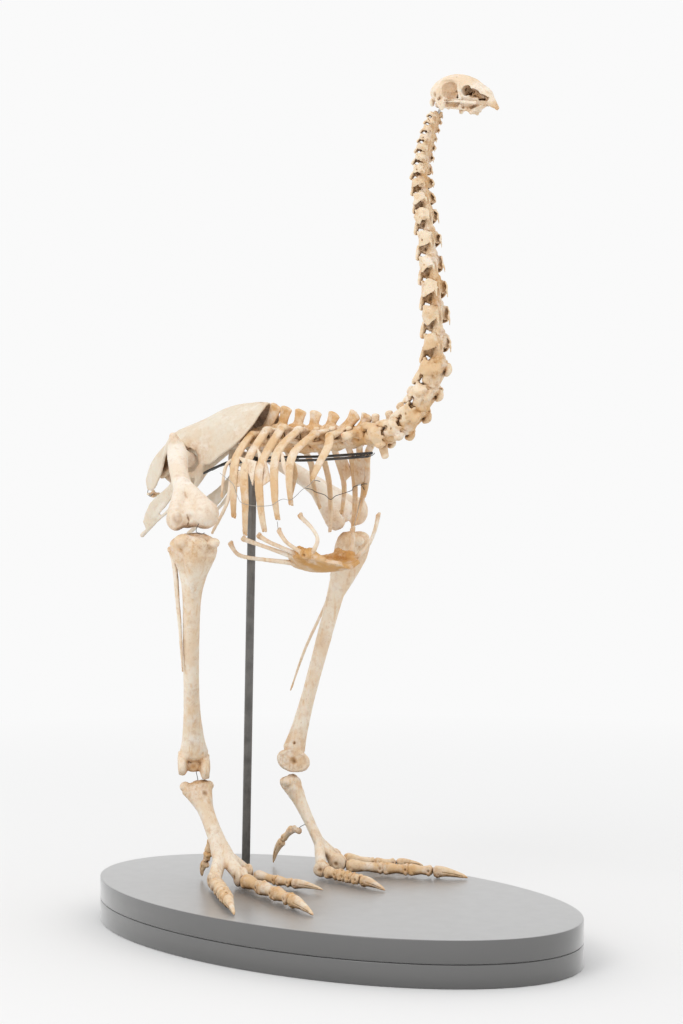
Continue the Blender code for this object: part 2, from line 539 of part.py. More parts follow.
def trim(made, point, away):
    """Cuts the object flat at a plane and drops what lies beyond it, away from the bone."""
    bm = bmesh.new()
    bm.from_mesh(made.data)
    whole = list(bm.verts) + list(bm.edges) + list(bm.faces)
    bmesh.ops.bisect_plane(bm, geom=whole, plane_co=point, plane_no=away, clear_outer=True)
    rim = [edge for edge in bm.edges if edge.is_boundary]
    bmesh.ops.holes_fill(bm, edges=rim, sides=0)
    bmesh.ops.triangulate(bm, faces=bm.faces)
    bmesh.ops.recalc_face_normals(bm, faces=bm.faces)
    bm.to_mesh(made.data)
    bm.free()
    keep_largest(made)


def cutter(name, bm, parent):
    """A guide object that only cuts others."""
    made = new_object(name, bm, BONE, parent)
    made.hide_render = True
    made.display_type = "WIRE"
    return made


def cut(made, tool):
    """Takes the tool's shape out of the object."""
    hole = made.modifiers.new("cut", "BOOLEAN")
    hole.operation = "DIFFERENCE"
    hole.solver = "EXACT"
    hole.object = tool


# ---------------------------------------------------------------- plinth and rods
def oval_slab(name, level):
    """One of the plinth's two oval boards, its underside at this level."""
    bm = bmesh.new()
    rings = []
    for z in (level, level + SLAB_HEIGHT):
        ring = []
        for k in range(PLINTH_SIDES):
            turn = 2 * math.pi * k / PLINTH_SIDES
            ring.append(bm.verts.new((
                PLINTH_HALF_LENGTH * math.cos(turn), PLINTH_HALF_WIDTH * math.sin(turn), z,
            )))
        rings.append(ring)
    bm.faces.new(list(reversed(rings[0])))
    bm.faces.new(rings[1])
    for k in range(PLINTH_SIDES):
        n = (k + 1) % PLINTH_SIDES
        bm.faces.new((rings[0][k], rings[0][n], rings[1][n], rings[1][k]))
    return new_object(name, bm, PAINT_GREY, None)


def straight_rod(name, start, end, radius, sides, finish, parent):
    """A plain round rod with flat ends."""
    start, end = Vector(start), Vector(end)
    bm = bmesh.new()
    bmesh.ops.create_cone(
        bm, cap_ends=True, segments=sides, radius1=radius, radius2=radius, depth=(end - start).length
    )
    made = new_object(name, bm, finish, parent)
    made.location = (start + end) / 2
    made.rotation_mode = "QUATERNION"
    made.rotation_quaternion = (end - start).to_track_quat("Z", "Y")
    return made


def mount_rods(parent):
    """The upright post and the two thin bars that carry the backbone."""
    straight_rod("mount_post", POST_FOOT, POST_TOP, POST_RADIUS, 20, PAINT_GREY, parent)
    for name, side in (("mount_bar_right", -1), ("mount_bar_left", 1)):
        drop = BAR_DROP if side < 0 else 0.0
        bm = bmesh.new()
        line = [(x, side * BAR_SPREAD, z - drop) for x, z in BAR_LINE]
        size = [BAR_RADIUS] * len(line)
        add_limb(bm, line, size, size, sides=8, per_span=2)
        new_object(name, bm, STEEL_DARK, parent)


# ---------------------------------------------------------------- skull
def skull(parent):
    """Brain case, beak, cheek bars and palate in one piece, with its eye and nose openings."""
    bm = bmesh.new()
    points = [(x, 0.0, (top + low) / 2) for x, top, low, half in SKULL_PROFILE]
    widths = [half for x, top, low, half in SKULL_PROFILE]
    depths = [(top - low) / 2 for x, top, low, half in SKULL_PROFILE]
    add_limb(bm, points, widths, depths, sides=20, per_span=2)
    add_limb(bm, PALATE, *PALATE_SIZE)
    for side in (-1, 1):
        for centre, radii in SKULL_KNOBS:
            if centre[1] or side > 0:
                add_knob(bm, sided(centre, side), radii)
        wide, deep = CHEEK_BAR_SIZE
        add_limb(bm, [sided(p, side) for p in CHEEK_BAR], (wide,) * 3, (deep,) * 3, sides=8)
    made = new_object("skull", bm, BONE, parent)
    fuse(made, VOXEL["skull"], FACES_BEFORE_CUT["skull"])
    slope = Matrix.Rotation(math.radians(NASAL_SLOPE), 3, "Y")
    tools = []
    for side in (-1, 1):
        for name, centre, radii, turn in (
            ("orbit_tool", ORBIT, ORBIT_RADII, None),
            ("nasal_tool", NASAL_OPENING, NASAL_RADII, slope),
        ):
            bm = bmesh.new()
            add_knob(bm, sided(centre, side), radii, turn)
            tools.append(cutter(name, bm, parent))
    for tool in tools:
        cut(made, tool)
    settle(made)
    for tool in tools:
        bpy.data.objects.remove(tool)
    fuse(made, VOXEL["skull"], FACES["skull"])
    return made


# ---------------------------------------------------------------- backbone
class Line:
    """A smooth line in the middle plane that can be walked by length."""

    def __init__(self, corners):
        self.spots = [Vector((x, 0.0, z)) for x, z in smooth_run(corners, 12)]
        self.reach = [0.0]
        for a, b in zip(self.spots, self.spots[1:]):
            self.reach.append(self.reach[-1] + (b - a).length)

    def at(self, length):
        """The point this far along, and the line's direction there."""
        length = min(max(length, 0.0), self.reach[-1])
        i = next(k for k, far in enumerate(self.reach) if far >= length)
        i = max(i, 1)
        a, b = self.spots[i - 1], self.spots[i]
        share = (length - self.reach[i - 1]) / (self.reach[i] - self.reach[i - 1])
        return a.lerp(b, share), (b - a).normalized()


def neck_bones():
    """Start, end, upper direction and width of each neck bone, head end first."""
    line = Line(NECK_LINE)
    scale = line.reach[-1] / (sum(NECK_BONE_MM) / 1000)
    far = 0.0
    bones = []
    for number, length_mm in enumerate(NECK_BONE_MM):
        length = length_mm / 1000 * scale
        front, _ = line.at(far)
        far += length
        back, _ = line.at(far)
        share = min(1.0, number / NECK_WIDEST)
        width = NECK_WIDTH_TOP + (NECK_WIDTH_BOTTOM - NECK_WIDTH_TOP) * share
        bones.append((front, back, width))
    return bones


def add_neck_bone(bm, front, back, width, low):
    """One neck bone: body, arch, joint wings, side plates; the low ones with a blade and keel."""
    ahead = (front - back).normalized()
    length = (front - back).length
    left = Vector((0, 1, 0))
    upper = ahead.cross(left).normalized()
    ways = {"ahead": ahead, "left": left, "upper": upper}

    def part(path, wide, deep, way, side=1):
        spots = [
            back.lerp(front, 0.5) + ahead * along * length + left * out * side * width + upper * rise * width
            for along, out, rise in path
        ]
        add_limb(bm, spots, [w * width for w in wide], [d * width for d in deep], up=ways[way],
                 sides=8 if path[0][1] == 0 else 6, per_span=1)

    for path, wide, deep, way in NECK_MIDDLE_PARTS + (NECK_LOW_PARTS if low else ()):
        part(path, wide, deep, way)
    for side in (-1, 1):
        for path, wide, deep, way in NECK_SIDE_PARTS:
            part(path, wide, deep, way, side)


def neck(parent):
    """The neck in a few lengths of joined bones."""
    bones = neck_bones()
    made = []
    for number, (first, last) in enumerate(NECK_LENGTHS, 1):
        bm = bmesh.new()
        for front, back, width in bones[first:last]:
            axis = (back - front).normalized()
            add_neck_bone(bm, front, back + axis * BONE_OVERLAP, width, width > SPINE_FROM_WIDTH)
        if last == len(bones):
            add_knob(bm, *LAST_NECK_KEEL)
        piece = new_object(f"neck_{number}", bm, BONE, parent)
        fuse(piece, VOXEL["neck"], FACES["neck"])
        for joint, way in ((first, -1), (last, 1)):
            if joint > 0:
                front, back, _ = bones[joint - 1]
                axis = (back - front).normalized()
                trim(piece, back - axis * way * JOINT_GAP, axis * way)
        made.append(piece)
    return made


def add_back_bones(bm):
    """The free bones of the back: bodies, arches, tall blades and side arms."""
    line = Line(BACK_LINE)
    length = line.reach[-1] / BACK_BONES
    centres = []
    for k in range(BACK_BONES):
        middle, tangent = line.at((k + 0.5) * length)
        half = tangent * (0.5 * length + BONE_OVERLAP)
        start, end = middle - half, middle + half
        roof = Vector((0, 0, ROOF_RISE[k]))
        add_limb(bm, (start, middle, end), *BACK_BODY, per_span=1)
        wide, deep = ROOF_SIZE
        add_limb(bm, (start + roof, end + roof), (wide, wide), (deep, deep), sides=8, per_span=1)
        x, z = SPINE_TOPS[k]
        foot = middle + Vector((0, 0, BLADE_FOOT))
        top = Vector((x, 0.0, z - SPINE_CAP))
        add_limb(bm, (foot, foot.lerp(top, 0.6), top), *BLADE, up=(0, 1, 0), sides=8, per_span=1)
        for side in (-1, 1):
            tip = middle + Vector((0.0, ARM_REACH * side, ARM_RISE[k]))
            add_limb(bm, (middle + roof * 0.75, tip), *ARM, sides=6, per_span=1)
        centres.append(middle)
    return centres


def add_rib(bm, centres, rib, side):
    """One rib from its back bone: head, shoulder, outer bend, middle and tip."""
    number, bend, middle, tip = rib
    head = centres[number] + Vector((0.0, BACK_BODY[0][1] * side, 0.004))
    shoulder = centres[number] + Vector((0.0, ARM_REACH * side, ARM_RISE[number] - 0.001))
    points = (shoulder, sided(bend, side), sided(middle, side), sided(tip, side))
    widths = [RIB_WIDTH / 2 * share for share in RIB_TAPER]
    add_limb(bm, points, widths, (RIB_THICKNESS / 2,) * 4, up=(0, side, 0.35), sides=8)
    size = (RIB_NECK,) * 2
    add_limb(bm, (head, points[0].lerp(points[1], 0.2)), size, size, sides=6, per_span=1)


def add_plate(bm, corners):
    """A flat four-cornered bone plate."""
    a, b, c, d = corners
    add_sheet(bm, ((a, b), (d, c)), PLATE_THICKNESS)


def rib_cage(name, side, ribs, parent):
    """One side of the chest: half of each back bone with the ribs that grow from it."""
    bm = bmesh.new()
    centres = add_back_bones(bm)
    for rib in ribs:
        add_rib(bm, centres, rib, side)
    if side < 0:
        root = centres[-1] + sided(HIND_RIB_ROOT, side)
        for path, width in HIND_RIBS:
            points = [root] + [sided(p, side) for p in path]
            add_limb(bm, points, [width / 2 * share for share in RIB_TAPER], (HIND_RIB_THICKNESS,) * 4,
                     up=(0, side, 0.35), sides=6)
        add_limb(bm, [sided(p, side) for p in HOOK_PLATE], *HOOK_PLATE_SIZE, up=(0, 1, 0), sides=6)
    for corners in PLATES[side]:
        add_plate(bm, [sided(corner, side) for corner in corners])
    made = new_object(name, bm, BONE, parent)
    fuse(made, VOXEL["rib_cage"], FACES["rib_cage"])
    trim(made, (0.0, side * TOUCH_GAP, 0.0), (0.0, -side, 0.0))
    start, tangent = Line(BACK_LINE).at(0.0)
    trim(made, start + tangent * JOINT_GAP, -tangent)
    return made


# ---------------------------------------------------------------- hips, tail, breastbone
def pelvis(parent):
    """The fused hip bones: roof, backbone, hip sockets, ischium blades and pubis rods."""
    bm = bmesh.new()
    add_limb(bm, [(x, 0.0, z) for x, z in SYNSACRUM], *SYNSACRUM_SIZE)
    spine = Line(SYNSACRUM)
    web = []
    for crest, _, _ in ILIUM_ROOF[1:8]:
        x, _, top = crest
        x = min(x, WEB_FRONT)
        foot = min(spine.spots, key=lambda spot: abs(spot.x - x))
        web.append(((x, 0.0, foot.z), (x, 0.0, top - WEB_TOP)))
    add_sheet(bm, web, WEB_THICKNESS)
    for side in (-1, 1):
        roof = [[(x, max(y, TOUCH_GAP) * side, z) for x, y, z in station] for station in ILIUM_ROOF]
        add_sheet(bm, roof, ILIUM_THICKNESS)
        hub = sided(HIP_SOCKET, side)
        turns = [2 * math.pi * k / 12 for k in range(12)]
        ring = [hub + Vector((math.cos(t), 0, math.sin(t))) * (SOCKET_HOLE + SOCKET_RIM) for t in turns]
        for k in range(12):
            add_limb(bm, (ring[k - 1], ring[k]), (SOCKET_RIM,) * 2, (SOCKET_DEPTH,) * 2, up=(0, 1, 0),
                     sides=8, per_span=1)
        place, radii = SOCKET_HEEL
        add_knob(bm, hub + sided(place, side), radii)
        add_limb(bm, [sided(p, side) for p in PUBIC_PEG], *PUBIC_PEG_SIZE, up=(0, 1, 0), sides=8)
        add_sheet(bm, [[sided(p, side) for p in pair] for pair in ISCHIUM], ISCHIUM_THICKNESS)
        add_limb(bm, [sided(p, side) for p in PUBIS], *PUBIS_SIZE, up=(0, 1, 0), sides=8)
        wide, deep = STRUT_SIZE
        for x, reach, rise in HIP_STRUTS:
            ends = (Vector((x, 0.004 * side, STRUT_ROOT_Z)), Vector((x, reach * side, rise)))
            add_limb(bm, ends, (wide, wide), (deep, deep), sides=6)
    made = new_object("pelvis", bm, BONE, parent)
    fuse(made, VOXEL["pelvis"], FACES_BEFORE_CUT["pelvis"])
    bores = []
    for side in (-1, 1):
        hub = sided(HIP_SOCKET, side)
        reach = Vector((0.0, SOCKET_BORE_REACH * side, 0.0))
        bore = straight_rod("socket_bore", hub - reach, hub + reach, SOCKET_HOLE, 24, BONE, parent)
        bores.append(bore)
        cut(made, bore)
    settle(made)
    for bore in bores:
        bpy.data.objects.remove(bore)
    fuse(made, VOXEL["pelvis"], FACES["pelvis"])
    return made


def tail(parent):
    """The one small tail bone that hangs behind the hips."""
    bm = bmesh.new()
    centre = Vector(TAIL_BONE)
    wide, deep = TAIL_ARM_SIZE
    place, radii = TAIL_SPINE
    add_knob(bm, centre, TAIL_BODY)
    arms = [centre + Vector((0.0, TAIL_ARM_REACH * way, TAIL_ARM_RISE)) for way in (-1, 1)]
    add_limb(bm, arms, (wide, wide), (deep, deep), sides=6)
    add_knob(bm, centre + Vector(place), radii)
    made = new_object("tail", bm, BONE, parent)
    fuse(made, VOXEL["tail"], FACES["tail"])
    return made


def sternum(parent):
    """The shallow breastbone with the thin ribs that are fixed to its edges."""
    bm = bmesh.new()
    rows = []
    for x, half in STERNUM_STATIONS:
        lift = STERNUM_FRONT_SLOPE * max(0.0, x - STERNUM_FRONT_X)
        rows.append([
            (x, share * half, STERNUM_KEEL_Z + (STERNUM_EDGE_Z - STERNUM_KEEL_Z) * share * share + lift)
            for share in STERNUM_ROWS
        ])
    add_sheet(bm, rows, STERNUM_THICKNESS)
    for side in (-1, 1):
        add_limb(bm, [sided(p, side) for p in STERNUM_EDGE], *STERNUM_EDGE_SIZE, sides=8)
    for path in STERNAL_RODS:
        size = [STERNAL_ROD_RADIUS] * (len(path) - 1) + [STERNAL_ROD_END]
        add_limb(bm, path, size, size, up=(0.2, 1, 0.1), sides=8, per_span=2)
    made = new_object("sternum", bm, BONE_OCHRE, parent)
    fuse(made, VOXEL["sternum"], FACES["sternum"])
    return made


def hangers(parent):
    """The two fine wires that hold the breastbone up to the ribs."""
    for side, (top, foot) in HANGERS.items():
        straight_rod(f"mount_wire_{side}", top, foot, HANGER_RADIUS, 8, STEEL_DARK, parent)


# ---------------------------------------------------------------- legs
def femur(name, leg, parent):
    """Thigh bone: ball, crest, shaft and two knuckles at the knee."""
    side = leg["side"]
    head, crest, knee = sided(leg["head"], side), sided(leg["trochanter"], side), sided(leg["knee"], side)
    along = heading(leg["thigh_turn"])
    lift = Vector((0, 0, 1))
    out = lift.cross(along) * side
    bm = bmesh.new()
    add_knob(bm, head, FEMUR_BALL)
    forward, inward, down = FEMUR_ROOT
    root = crest + Vector((forward, -inward * side, -down))
    add_limb(bm, (head, head.lerp(root, 0.5), root), *FEMUR_NECK)
    bow = lift * leg["thigh_lift"]
    shaft = (
        root + bow * 0.3,
        root.lerp(knee, 0.30) + Vector(FEMUR_BEND) + bow * 0.8,
        root.lerp(knee, 0.62) + bow,
        knee + lift * FEMUR_END_RISE,
    )
    add_limb(bm, (crest, *shaft), *FEMUR_SHAFT, up=along + lift * FEMUR_LEAN, sides=12)
    turn = Matrix((along, out, lift)).transposed()
    for place, radii in leg["knuckles"]:
        add_knob(bm, knee + turn @ Vector(place), radii, turn)
    made = new_object(name, bm, BONE, parent)
    fuse(made, VOXEL["femur"], FACES["femur"])
    return made


def tibiotarsus(name, leg, parent):
    """Shin bone: broad crested head, long shaft and two wheels at the ankle."""
    side = leg["side"]
    top, ankle = sided(leg["tibia_top"], side), sided(leg["ankle"], side)
    along = heading(leg["knee_turn"])
    lift = Vector((0, 0, 1))
    down = (ankle - top).normalized()
    bow = sided(leg["shin_bow"], side)
    bm = bmesh.new()
    points = [top.lerp(ankle, share) + bow * bent for share, bent in zip(SHIN_STATIONS, SHIN_BOW_STATIONS)]
    add_limb(bm, points, SHIN_WIDTHS, SHIN_DEPTHS, up=along, sides=12, per_span=2)
    peak = top + along * SHIN_CREST_REACH
    crest = (peak + lift * 0.004, peak + down * 0.030, top + along * 0.016 + down * 0.095)
    add_limb(bm, crest, *SHIN_CREST, up=along, sides=8)
    level = (along + down * -along.dot(down)).normalized()
    turn = Matrix((level, level.cross(down) * side, -down)).transposed()
    for place, radii in leg["wheels"]:
        add_knob(bm, ankle + turn @ Vector(place), radii, turn)
    add_knob(bm, ankle, ANKLE_HUB, turn)
    made = new_object(name, bm, BONE, parent)
    fuse(made, VOXEL["tibiotarsus"], FACES["tibiotarsus"])
    return made


def fibula(name, leg, parent):
    """The splint bone beside the shin."""
    bm = bmesh.new()
    add_limb(bm, [sided(p, leg["side"]) for p in leg["fibula"]], *FIBULA_SIZE, sides=8)
    made = new_object(name, bm, BONE_TAN, parent)
    fuse(made, VOXEL["fibula"], FACES["fibula"])
    return made


def tarsometatarsus(name, leg, parent):
    """Foot bone: cupped head, flat shaft and three rollers for the toes."""
    side = leg["side"]
    top, foot = sided(leg["tarsus_top"], side), sided(leg["tarsus_foot"], side)
    along = heading(leg["foot_turn"])
    across = Vector((0, 0, 1)).cross(along)
    down = (foot - top).normalized()
    bm = bmesh.new()
    shaft = [top.lerp(foot, share) for share in FOOT_STATIONS]
    add_limb(bm, shaft, FOOT_WIDTHS, FOOT_DEPTHS, up=along, sides=12, per_span=2)
    heel = [top + along * ahead + down * drop for ahead, drop in FOOT_HEEL]
    add_limb(bm, heel, *FOOT_HEEL_SIZE, up=along, sides=8)
    turn = Matrix((along, across, Vector((0, 0, 1)))).transposed()
    reach = top.lerp(foot, ROLLER_FROM)
    for spot, radius in zip(leg["trochleae"], ROLLER_RADII):
        roller = sided(spot, side)
        add_limb(bm, (reach, reach.lerp(roller, 0.7), roller), *ROLLER_STEM, up=along, sides=8)
        add_knob(bm, roller, (radius, ROLLER_HALF_WIDTH, radius), turn)
    made = new_object(name, bm, BONE, parent)
    fuse(made, VOXEL["tarsometatarsus"], FACES["tarsometatarsus"])
    return made


def add_claw(bm, start, tip, radius):
    """A stout curved claw, flat below, from its round base to its tip."""
    clearance = start.z - radius
    spots = []
    for share, deep, arch in zip(CLAW_STATIONS, CLAW_DEPTHS, CLAW_ARCH):
        spot = start.lerp(tip, share)
        ground = clearance * (1 - share) + (tip.z - CLAW_TIP * radius) * share
        spot.z = ground + radius * (deep + arch)
        spots.append(spot)
    spots.append(tip)
    widths = [radius * share for share in (*CLAW_WIDTHS, CLAW_TIP)]
    depths = [radius * share for share in (*CLAW_DEPTHS, CLAW_TIP)]
    add_limb(bm, spots, widths, depths, sides=8, per_span=2)


def toe(name, side, start, tip, shares, radius, parent):
    """One toe: a row of waisted bones with knuckled ends, and a claw."""
    level = STANDING_LEVEL + TOUCH_GAP
    start = Vector((start[0], start[1] * side, level + start[2]))
    tip = Vector((tip[0], tip[1] * side, level + tip[2]))
    bm = bmesh.new()
    far, count = 0.0, len(shares)
    joints = []
    for k in range(count):
        spot = start.lerp(tip, far)
        size = radius * (1.0 - TOE_TAPER * k / (count - 1))
        lift = size + TOE_CLEARANCE
        spot.z = level + (max(lift, start.z - level) if k == 0 else lift)
        joints.append((spot, size))
        far += shares[k]
    for (a, size_a), (b, size_b) in zip(joints, joints[1:]):
        overlap = (b - a).normalized() * TOE_OVERLAP
        path = [(a + overlap * 2).lerp(b + overlap, share) for share in TOE_STATIONS]
        sizes = [size_a, size_a, (size_a + size_b) / 2, size_b, size_b]
        add_limb(bm, path, [size * w for size, w in zip(sizes, TOE_WIDTHS)],
                 [size * d for size, d in zip(sizes, TOE_DEPTHS)], sides=8, per_span=2)
    base, size = joints[-1]
    add_claw(bm, base, tip, size)
    made = new_object(name, bm, BONE_TAN, parent)
    fuse(made, VOXEL["toe"], FACES["toe"])
    return made


def hallux(name, leg, parent):
    """The small hind toe: its own short foot bone, one toe bone and a claw."""
    stub, knuckle, joint, tip = [sided(p, leg["side"]) for p in leg["hallux"]]
    bend = joint.lerp(tip, 0.45) + Vector(HALLUX_CLAW_BEND)
    bm = bmesh.new()
    add_limb(bm, (stub, stub.lerp(knuckle, 0.5), knuckle), *HALLUX_STUB, up=(0, 1, 0), sides=8)
    add_limb(bm, (knuckle, knuckle.lerp(joint, 0.5), joint), *HALLUX_BONE, up=(0, 1, 0), sides=8)
    add_limb(bm, (joint, bend, tip), *HALLUX_CLAW, up=(0, 1, 0), sides=8)
    made = new_object(name, bm, BONE_TAN, parent)
    fuse(made, VOXEL["hallux"], FACES["hallux"])
    return made


# ---------------------------------------------------------------- the whole mount
def main():
    """Builds every piece."""
    for old in list(bpy.data.objects):
        bpy.data.objects.remove(old)
    oval_slab("base_lower", 0.0)
    oval_slab("base_upper", SLAB_HEIGHT + SLAB_GROOVE)
    bird = bpy.data.objects.new("bird", None)
    bpy.context.scene.collection.objects.link(bird)
    bird.location = (0.0, BIRD_OFFSET_Y, 0.0)
    mount_rods(bird)
    head = skull(bird)
    lengths = neck(bird)
    rod = straight_rod("mount_neck_rod", *NECK_ROD, NECK_ROD_RADIUS, 10, STEEL_DARK, bird)
    bore = straight_rod("neck_rod_bore", *NECK_ROD, NECK_ROD_RADIUS + TOUCH_GAP, 10, STEEL_DARK, bird)
    bore.scale = (1.0, 1.0, 1.10)
    bore.hide_render = True
    bore.display_type = "WIRE"
    cut(head, bore)
    cut(lengths[0], bore)
    rib_cage("rib_cage_right", -1, RIBS_RIGHT, bird)
    rib_cage("rib_cage_left", 1, RIBS_LEFT, bird)
    pelvis(bird)
    tail(bird)
    sternum(bird)
    hangers(bird)
    for which, leg in LEGS.items():
        femur(f"femur_{which}", leg, bird)
        tibiotarsus(f"tibiotarsus_{which}", leg, bird)
        fibula(f"fibula_{which}", leg, bird)
        tarsometatarsus(f"tarsometatarsus_{which}", leg, bird)
        hallux(f"toe_1_{which}", leg, bird)
        for number, start, tip, shares, radius in TOES[which]:
            toe(f"toe_{number}_{which}", leg["side"], start, tip, shares, radius, bird)
    for made in bpy.data.objects:
        if made.type == "MESH":
            made.data.shade_smooth()
            made.data.set_sharp_from_angle(angle=math.radians(40))


main()
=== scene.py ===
"""Dresses the mounted moa skeleton: every bone, the plinth, the rods and wires, their finish and the stage.

Metres, +Z up. Bones are modelled from the bird's own middle plane, +X ahead and +Y to its left,
and then set beside the plinth's centre line, as the frame has them.
"""

import math
import random

import bmesh
import bpy
import numpy as np
from bpy.props import FloatProperty, FloatVectorProperty, IntProperty, PointerProperty
from mathutils import Matrix, Vector


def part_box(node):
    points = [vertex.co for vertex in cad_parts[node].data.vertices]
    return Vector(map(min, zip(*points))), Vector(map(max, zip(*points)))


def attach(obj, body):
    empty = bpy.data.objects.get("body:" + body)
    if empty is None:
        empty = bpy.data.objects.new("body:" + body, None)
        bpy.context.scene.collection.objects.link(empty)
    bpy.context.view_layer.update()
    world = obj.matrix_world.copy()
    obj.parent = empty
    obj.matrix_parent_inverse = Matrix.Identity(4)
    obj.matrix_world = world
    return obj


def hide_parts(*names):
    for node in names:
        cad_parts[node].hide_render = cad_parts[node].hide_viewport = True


bl_info = {
    "name": "Mounted Moa Skeleton",
    "version": (1, 0, 0),
    "blender": (4, 5, 0),
    "location": "View3D > Sidebar > Moa",
    "description": "Builds a life-size mounted moa skeleton on its oval plinth",
    "category": "Add Mesh",
}

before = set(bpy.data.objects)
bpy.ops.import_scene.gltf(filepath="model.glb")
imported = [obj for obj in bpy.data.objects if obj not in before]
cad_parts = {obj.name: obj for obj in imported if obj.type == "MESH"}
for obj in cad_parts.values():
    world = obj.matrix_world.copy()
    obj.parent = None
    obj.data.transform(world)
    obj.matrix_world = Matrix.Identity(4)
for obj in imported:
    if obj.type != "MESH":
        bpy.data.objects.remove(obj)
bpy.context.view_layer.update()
PLINTH_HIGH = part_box("base_upper")[1]

# ---- pose, in metres
BIRD_OFFSET_Y = 0.040
STANDING_LEVEL = PLINTH_HIGH[2]

NECK_LINE = (
    (0.192, 1.346), (0.173, 1.300), (0.163, 1.245), (0.171, 1.194), (0.181, 1.118),
    (0.189, 1.060), (0.193, 1.010), (0.194, 0.950), (0.178, 0.908), (0.156, 0.873),
    (0.127, 0.845), (0.092, 0.831), (0.053, 0.828),
)
NECK_BONE_MM = (10, 12, 15, 15, 16, 18, 22, 23, 28, 35, 41, 40, 41, 46, 42, 43, 41, 42, 39, 41)
NECK_WIDTH_TOP = 0.029
NECK_WIDTH_BOTTOM = 0.058
NECK_WIDEST = 15
NECK_NODE_STARTS = (0, 6, 11, 15)
NECK_GAP = 0.0004
LOW_NECK_FROM = 15
SPINED_NECK_FROM = 16
# Side plate of a neck bone, front edge first: along in lengths, out and rise in widths.
NECK_SHIELD = (
    ((0.42, 0.22, -0.20), (0.50, 0.36, -0.08), (0.52, 0.37, 0.10), (0.46, 0.28, 0.24)),
    ((0.25, 0.26, -0.25), (0.27, 0.41, -0.10), (0.25, 0.41, 0.14), (0.20, 0.28, 0.30)),
    ((0.09, 0.24, -0.24), (-0.03, 0.38, -0.08), (-0.15, 0.37, 0.12), (-0.06, 0.26, 0.32)),
)
SHIELD_UNEVEN = 0.06
LAST_NECK_KEEL = ((0.079, 0.0, 0.815), (0.082, 0.0, 0.803), (0.0845, 0.0, 0.7955))

BACK_LINE = ((0.050, 0.829), (-0.022, 0.819), (-0.092, 0.814), (-0.200, 0.819))
BACK_BONES = 7
ROOF_RISE = (0.012, 0.018, 0.023, 0.026, 0.028, 0.026, 0.020)
ARM_RISE = (0.004, 0.009, 0.016, 0.026, 0.030, 0.024, 0.015)
ARM_REACH = 0.036
SPINE_TOPS = (
    (0.045, 0.866), (0.019, 0.869), (-0.027, 0.869), (-0.068, 0.872),
    (-0.102, 0.875), (-0.135, 0.880), (-0.158, 0.884),
)
# Ribs: number of the back bone, then the outer bend, the middle and the lower tip.
RIBS = {
    -1: (
        (1, (0.012, 0.060, 0.812), (0.010, 0.078, 0.787), (-0.006, 0.080, 0.758)),
        (2, (-0.041, 0.085, 0.802), (-0.038, 0.100, 0.764), (-0.043, 0.090, 0.716)),
        (3, (-0.077, 0.088, 0.799), (-0.070, 0.100, 0.731), (-0.072, 0.090, 0.692)),
        (4, (-0.113, 0.088, 0.780), (-0.102, 0.100, 0.716), (-0.102, 0.090, 0.671)),
        (5, (-0.147, 0.088, 0.780), (-0.137, 0.100, 0.716), (-0.147, 0.090, 0.665)),
        (6, (-0.172, 0.086, 0.790), (-0.166, 0.098, 0.729), (-0.173, 0.090, 0.693)),
    ),
    1: (
        (0, (-0.026, 0.084, 0.797), (-0.036, 0.096, 0.760), (-0.038, 0.090, 0.726)),
        (1, (-0.046, 0.088, 0.795), (-0.048, 0.100, 0.738), (-0.060, 0.090, 0.678)),
        (2, (-0.064, 0.088, 0.792), (-0.067, 0.100, 0.730), (-0.066, 0.092, 0.672)),
        (3, (-0.096, 0.088, 0.790), (-0.092, 0.100, 0.745), (-0.090, 0.092, 0.697)),
        (4, (-0.126, 0.088, 0.784), (-0.124, 0.100, 0.734), (-0.117, 0.092, 0.665)),
        (5, (-0.157, 0.088, 0.782), (-0.164, 0.100, 0.750), (-0.140, 0.092, 0.705)),
        (6, (-0.196, 0.086, 0.775), (-0.204, 0.094, 0.750), (-0.209, 0.092, 0.725)),
    ),
}
FAR_RIB_SHARE = 0.70
HIND_RIB_RIGHT = ((-0.193, 0.060, 0.797), (-0.201, 0.080, 0.778), (-0.206, 0.085, 0.727))
LOOSE_HIND_RIB = ((-0.186, 0.078, 0.772), (-0.180, 0.098, 0.720), (-0.222, 0.092, 0.666))
PLATES = {
    -1: (
        ((-0.137, 0.070, 0.811), (-0.100, 0.088, 0.785), (-0.084, 0.094, 0.757), (-0.104, 0.097, 0.745)),
        ((-0.172, 0.083, 0.797), (-0.121, 0.088, 0.788), (-0.122, 0.097, 0.746), (-0.142, 0.090, 0.776)),
        ((-0.171, 0.091, 0.772), (-0.146, 0.091, 0.772), (-0.149, 0.096, 0.746), (-0.165, 0.096, 0.744)),
    ),
    1: (
        ((-0.062, 0.089, 0.795), (-0.034, 0.088, 0.795), (-0.042, 0.097, 0.752), (-0.064, 0.098, 0.745)),
        ((-0.094, 0.089, 0.792), (-0.076, 0.089, 0.792), (-0.070, 0.096, 0.765), (-0.088, 0.098, 0.752)),
    ),
}
HOOK_PLATE = ((-0.040, 0.096, 0.758), (-0.056, 0.092, 0.782), (-0.071, 0.084, 0.803))

